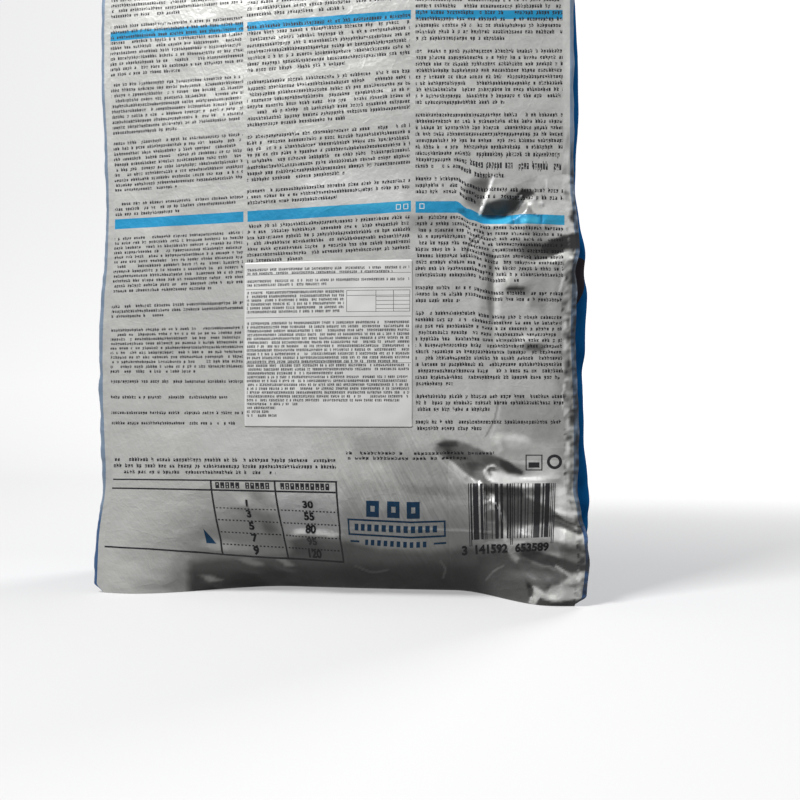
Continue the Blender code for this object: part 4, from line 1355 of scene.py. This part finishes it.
def make_bag():
    """The bag's whole film as one closed surface, which starts at the back panel and goes round by +X."""
    z = row_heights()
    low = 1.0 - ease(0.27, 0.30, z)
    surface = Surface()
    back_points, back_places = back_panel(z)
    # The back panel and the right back fin carry painted shade and highlight in the shade attribute, fading
    # out between 0.27 and 0.30 m.
    back_shade = film_shade(*np.moveaxis(back_places, -1, 0)) * low
    surface.add(back_points, warp_print(back_places), BACK, back_shade)
    right_fin = fin(1, -1, z)
    fin_place = photo_place(*np.moveaxis(right_fin[0], -1, 0))
    fin_shade = np.clip(film_shade(*fin_place) + painted_fin_crumples(*fin_place), -0.9, 0.9) * low
    surface.add(*right_fin, (PLAIN, PLAIN, PLAIN, EDGE, EDGE, BLUE, BLUE), fin_shade)
    surface.add(*gusset(1, z), BLUE)
    surface.add(*fin(1, 1, z), BLUE)
    surface.add(*front_panel(z), BLUE)
    surface.add(*fin(-1, 1, z), BLUE)
    surface.add(*gusset(-1, z), BLUE)
    surface.add(*fin(-1, -1, z), (BLUE, BLUE, EDGE, EDGE, PLAIN, PLAIN, PLAIN))
    edge_film = make_plain_film("seal_edge_film", SEAL_EDGE_LIGHT, SEAL_EDGE, SEAL_EDGE_FOOT)
    mesh = surface.make("film_bag", (make_back_film(), make_blue_film(), PLAIN_FILM, edge_film))
    model = bmesh.new()
    model.from_mesh(mesh)
    merge_seams(model)
    close_end(model, 0.0, PLAIN)
    close_end(model, BAG_HEIGHT, BACK)
    bmesh.ops.recalc_face_normals(model, faces=model.faces)
    model.to_mesh(mesh)
    model.free()
    return finish_mesh("film_bag", mesh)


def make_label():
    """The paper label as a thin sheet with rounded corners that follows the back panel."""
    width = label_high[0] - label_low[0]
    height = label_high[2] - label_low[2]
    model = bmesh.new()
    bmesh.ops.create_grid(model, x_segments=LABEL_CELLS, y_segments=LABEL_CELLS, size=0.5)
    for vertex in model.verts:
        vertex.co.x *= width
        vertex.co.y *= height
    corners = [vertex for vertex in model.verts if len(vertex.link_edges) == 2]
    round_off = {"segments": 4, "profile": 0.5, "affect": "VERTICES", "offset_type": "OFFSET"}
    bmesh.ops.bevel(model, geom=corners, offset=LABEL_CORNER, **round_off)
    for edge in model.edges:
        edge.smooth = not edge.is_boundary
    mesh = bpy.data.meshes.new("paper_label")
    model.to_mesh(mesh)
    model.free()
    flat = np.empty(len(mesh.vertices) * 3, np.float32)
    mesh.vertices.foreach_get("co", flat)
    flat = flat.reshape(-1, 3).astype(float)
    x = flat[:, 0] + (label_low[0] + label_high[0]) / 2
    z = flat[:, 1] + (label_low[2] + label_high[2]) / 2
    left = -HALF_WIDTH - corner_sway(-1, -1, z)
    right = HALF_WIDTH + corner_sway(1, -1, z)
    x, y = panel_base(-1, 2.0 * (x - left) / (right - left) - 1.0, z)
    u, v = photo_place(x, y, z)
    y = y - back_relief(u, v) - LABEL_LIFT - LABEL_THICKNESS
    mesh.vertices.foreach_set("co", np.stack([x, y, z], -1).astype(np.float32).ravel())
    places = np.stack([50 + 100 * flat[:, 0] / width, 50 - 100 * flat[:, 1] / height], -1)
    layer = mesh.uv_layers.new(name="print")
    index = np.empty(len(mesh.loops), np.int32)
    mesh.loops.foreach_get("vertex_index", index)
    layer.data.foreach_set("uv", places[index].astype(np.float32).ravel())
    mesh.materials.append(make_label_paper())
    piece = finish_mesh("paper_label", mesh)
    solid = piece.modifiers.new("thickness", "SOLIDIFY")
    solid.thickness = LABEL_THICKNESS
    solid.offset = -1.0
    return piece


def film_point(print_u, print_v):
    """The point of the back panel's surface that carries a place of the print."""
    u = np.array(print_u, float)
    v = np.array(print_v, float)
    for _ in range(12):
        placed = warp_print(np.stack([u, v], -1))
        u += print_u - placed[..., 0]
        v += print_v - placed[..., 1]
    # A first guess of the height and the share across, then steps towards the point that shows there
    z = CAMERA_TARGET[2] - (v - PHOTO_MIDDLE) * CAMERA_DISTANCE / FOCAL_PIXELS
    share = (u - PANEL_MIDDLE) / HALF_PANEL
    for _ in range(25):
        x, y = panel_base(-1, share, z)
        seen_u, seen_v = photo_place(x, y, z)
        share += (u - seen_u) * SHARE_A_PIXEL
        z += (seen_v - v) * CAMERA_DISTANCE / FOCAL_PIXELS
    x, y = panel_base(-1, share, z)
    fade = ease(0.0, 0.003, z) * (1.0 - share**24)
    return np.stack([x, y - back_relief(u, v) * fade, z], -1)


def flat_number(words):
    """Vertices and triangles of a flat number, one unit high to its line, starting at the origin."""
    curve = bpy.data.curves.new("number", "FONT")
    curve.body = words
    curve.resolution_u = 3
    curve.offset = NUMBER_BOLDNESS
    letter = bpy.data.objects.new("number", curve)
    bpy.context.scene.collection.objects.link(letter)
    bpy.context.view_layer.update()
    mesh = bpy.data.meshes.new_from_object(letter.evaluated_get(bpy.context.evaluated_depsgraph_get()))
    model = bmesh.new()
    model.from_mesh(mesh)
    bmesh.ops.triangulate(model, faces=model.faces)
    bmesh.ops.subdivide_edges(model, edges=[e for e in model.edges if e.calc_length() > 0.3], cuts=1)
    bmesh.ops.triangulate(model, faces=model.faces)
    model.verts.index_update()
    places = np.array([vertex.co[:2] for vertex in model.verts])
    faces = [[vertex.index for vertex in face.verts] for face in model.faces]
    model.free()
    bpy.data.objects.remove(letter)
    bpy.data.curves.remove(curve)
    bpy.data.meshes.remove(mesh)
    return places, faces


def make_numbers():
    """The plain numbers of the table and under the bars, as thin ink that follows the film."""
    labels = list(NUMBERS)
    for row, (weight, amount) in enumerate(zip(TABLE_WEIGHTS, TABLE_AMOUNTS)):
        baseline = FIRST_BASELINE + TABLE_ROW * row
        labels.append((weight, WEIGHTS_LEFT, baseline, TABLE_NUMBER_HEIGHT))
        labels.append((amount, AMOUNTS_MIDDLE - 3.0 * len(amount), baseline, TABLE_NUMBER_HEIGHT))
    points = []
    faces = []
    for words, left, baseline, height in labels:
        places, triangles = flat_number(words)
        faces += [[index + len(points) for index in triangle] for triangle in triangles]
        scale = height / FONT_HEIGHT
        solid = film_point(left + scale * places[:, 0], baseline - scale * places[:, 1])
        solid[:, 1] -= INK_LIFT
        points += solid.tolist()
    mesh = bpy.data.meshes.new("printed_numbers")
    mesh.from_pydata(points, [], faces)
    mesh.materials.append(make_number_ink())
    return finish_mesh("printed_numbers", mesh)


class Tree:
    """A Geometry Nodes tree with named inputs, and short ways to add and link its nodes."""

    def __init__(self, name, inputs):
        self.group = bpy.data.node_groups.new(name, "GeometryNodeTree")
        self.group.interface.new_socket("Geometry", in_out="INPUT", socket_type="NodeSocketGeometry")
        self.sockets = {}
        for label, kind, value in inputs:
            socket = self.group.interface.new_socket(label, in_out="INPUT", socket_type=kind)
            socket.default_value = value
            self.sockets[label] = (socket.identifier, value)
        self.group.interface.new_socket("Geometry", in_out="OUTPUT", socket_type="NodeSocketGeometry")
        self.given = self.group.nodes.new("NodeGroupInput").outputs
        self.result = self.group.nodes.new("NodeGroupOutput").inputs["Geometry"]

    def add(self, kind, inputs=None, **settings):
        return add_node(self.group, kind, inputs, settings)

    def finish(self, geometry, material):
        real = self.add("GeometryNodeRealizeInstances", {"Geometry": geometry})
        painted = self.add("GeometryNodeSetMaterial", {"Geometry": real.outputs[0], "Material": material})
        self.group.links.new(painted.outputs[0], self.result)

    def mesh_from(self, name, path_points):
        """Runs the tree on a path and gives the result as a plain mesh."""
        edges = [(index, index + 1) for index in range(len(path_points) - 1)]
        path = bpy.data.meshes.new(name)
        path.from_pydata([tuple(point) for point in path_points], edges, [])
        holder = bpy.data.objects.new(name, path)
        bpy.context.scene.collection.objects.link(holder)
        modifier = holder.modifiers.new(name, "NODES")
        modifier.node_group = self.group
        for identifier, value in self.sockets.values():
            modifier[identifier] = value
        bpy.context.view_layer.update()
        mesh = bpy.data.meshes.new_from_object(holder.evaluated_get(bpy.context.evaluated_depsgraph_get()))
        bpy.data.objects.remove(holder)
        bpy.data.meshes.remove(path)
        return mesh


def make_seal_ribs_tree():
    """Level crimp ribs across the top seal, one above the other, of slightly uneven thickness."""
    tree = Tree(
        "seal_ribs",
        (
            ("Seed", "NodeSocketInt", 7),
            ("Pitch", "NodeSocketFloat", SEAL_RIB_PITCH),
            ("Count", "NodeSocketInt", SEAL_RIB_COUNT),
            ("Radius", "NodeSocketFloat", SEAL_RIB_RADIUS),
        ),
    )
    curve = tree.add("GeometryNodeMeshToCurve", {"Mesh": tree.given["Geometry"]})
    ring = tree.add("GeometryNodeCurvePrimitiveCircle", {"Resolution": 8, "Radius": tree.given["Radius"]})
    rib = tree.add("GeometryNodeCurveToMesh", {"Curve": curve.outputs[0], "Profile Curve": ring.outputs[0]})
    rib.inputs["Fill Caps"].default_value = True
    step = tree.add("ShaderNodeCombineXYZ", {2: tree.given["Pitch"]})
    rows = tree.add("GeometryNodeMeshLine", {"Count": tree.given["Count"], "Offset": step.outputs[0]})
    uneven = tree.add(
        "FunctionNodeRandomValue",
        {"Min": (0.985, 0.9, 1.0), "Max": (1.0, 1.1, 1.0), "Seed": tree.given["Seed"]},
        data_type="FLOAT_VECTOR",
    )
    placed = tree.add(
        "GeometryNodeInstanceOnPoints",
        {"Points": rows.outputs[0], "Instance": rib.outputs[0], "Scale": uneven.outputs[0]},
    )
    tree.finish(placed.outputs[0], PLAIN_FILM)
    return tree


def make_ribs():
    """The crimp ribs on both sides of the top seal, as one piece of bare film."""
    tree = make_seal_ribs_tree()
    first = SEAL_BASE + 0.003
    x = np.linspace(-HALF_WIDTH + 0.002, HALF_WIDTH - 0.002, 90)
    model = bmesh.new()
    for side_y in (-1, 1):
        y = side_y * (TOP_SEAL_THICKNESS / 2 - 0.0001) + seal_wave(x, SEAL_BASE + 0 * x)
        mesh = tree.mesh_from("seal_ribs", np.stack([x, y, first + 0 * x], -1))
        model.from_mesh(mesh)
        bpy.data.meshes.remove(mesh)
    joined = bpy.data.meshes.new("crimp_ribs")
    model.to_mesh(joined)
    model.free()
    joined.materials.append(PLAIN_FILM)
    return finish_mesh("crimp_ribs", joined)


def make_floor_paint():
    """Pale paint for the floor and backdrop, evened out towards the back.

    It throws little light back on the object, so the film's underside stays dark.
    """
    material = bpy.data.materials.new("floor_paint")
    material.use_nodes = True
    board = Board(material.node_tree)
    shader = material.node_tree.nodes["Principled BSDF"]
    seen = board.seen()
    board.put(shader.inputs["Base Color"], board.mix(seen, FLOOR_BOUNCE, FLOOR_PALE))
    spot = board.add("ShaderNodeTexCoord").outputs["Object"]
    behind = board.add("ShaderNodeSeparateXYZ", {0: spot}).outputs[1]
    limits = {"From Min": 0.1, "From Max": 1.3, "To Min": 0.36, "To Max": 0.7}
    even = board.add("ShaderNodeMapRange", {"Value": behind, **limits})
    board.put(shader.inputs["Emission Color"], board.mix(seen, BLACK, WHITE))
    board.put(shader.inputs["Emission Strength"], even.outputs[0])
    shader.inputs["Roughness"].default_value = 0.9
    shader.inputs["Specular IOR Level"].default_value = 0.0
    return material


def make_stage():
    """A pale floor that sweeps up into a backdrop."""
    profile = [(-1.2, 0.0)] + [(-0.2 + 0.1 * step, 0.0) for step in range(12)]
    for turned in range(10, 91, 10):
        rise = SWEEP_RADIUS - SWEEP_RADIUS * cos(radians(turned))
        profile.append((0.9 + SWEEP_RADIUS * sin(radians(turned)), rise))
    profile += [(1.5, 1.2), (1.5, 2.2)]
    points = [(side * FLOOR_HALF_WIDTH, y, z - FLOOR_DROP) for y, z in profile for side in (-1, 1)]
    faces = [(2 * row, 2 * row + 1, 2 * row + 3, 2 * row + 2) for row in range(len(profile) - 1)]
    mesh = bpy.data.meshes.new("floor")
    mesh.from_pydata(points, [], faces)
    mesh.shade_smooth()
    mesh.materials.append(make_floor_paint())
    floor = bpy.data.objects.new("floor", mesh)
    bpy.context.scene.collection.objects.link(floor)


def add_lamp(name, place, aim, size, power):
    """A soft square lamp that faces a point."""
    light = bpy.data.lights.new(name, "AREA")
    light.size = size
    light.energy = power
    lamp = bpy.data.objects.new(name, light)
    lamp.location = place
    lamp.rotation_euler = (Vector(aim) - Vector(place)).to_track_quat("-Z", "Y").to_euler()
    bpy.context.scene.collection.objects.link(lamp)


def make_light():
    """A key lamp high on the left, weaker ones behind and on the right, and a dim surround."""
    for lamp in LAMPS:
        add_lamp(*lamp)
    world = bpy.data.worlds.new("surround")
    world.use_nodes = True
    board = Board(world.node_tree)
    background = world.node_tree.nodes["Background"]
    background.inputs["Color"].default_value = SURROUND
    board.put(background.inputs["Strength"], board.math("MULTIPLY_ADD", board.seen(), 0.4, 0.10))
    bpy.context.scene.world = world


def make_camera():
    """The photograph's view: level, a little from the right."""
    camera = bpy.data.cameras.new("photo_view")
    camera.sensor_width = SENSOR_WIDTH
    camera.lens = FOCAL_PIXELS * SENSOR_WIDTH / (2 * PHOTO_MIDDLE)
    camera.clip_start = 0.02
    view = bpy.data.objects.new("photo_view", camera)
    view.location = (
        CAMERA_TARGET[0] + CAMERA_DISTANCE * sin(CAMERA_TURN),
        CAMERA_TARGET[1] - CAMERA_DISTANCE * cos(CAMERA_TURN),
        CAMERA_TARGET[2],
    )
    view.rotation_euler = (radians(90), 0.0, CAMERA_TURN)
    bpy.context.scene.collection.objects.link(view)
    bpy.context.scene.camera = view


make_camera()
make_light()
make_stage()
film_bag = make_bag()
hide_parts("bag")
paper_label = make_label()
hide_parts("ingredient_label")
make_numbers()
make_ribs()
bpy.context.scene.view_settings.view_transform = "Standard"
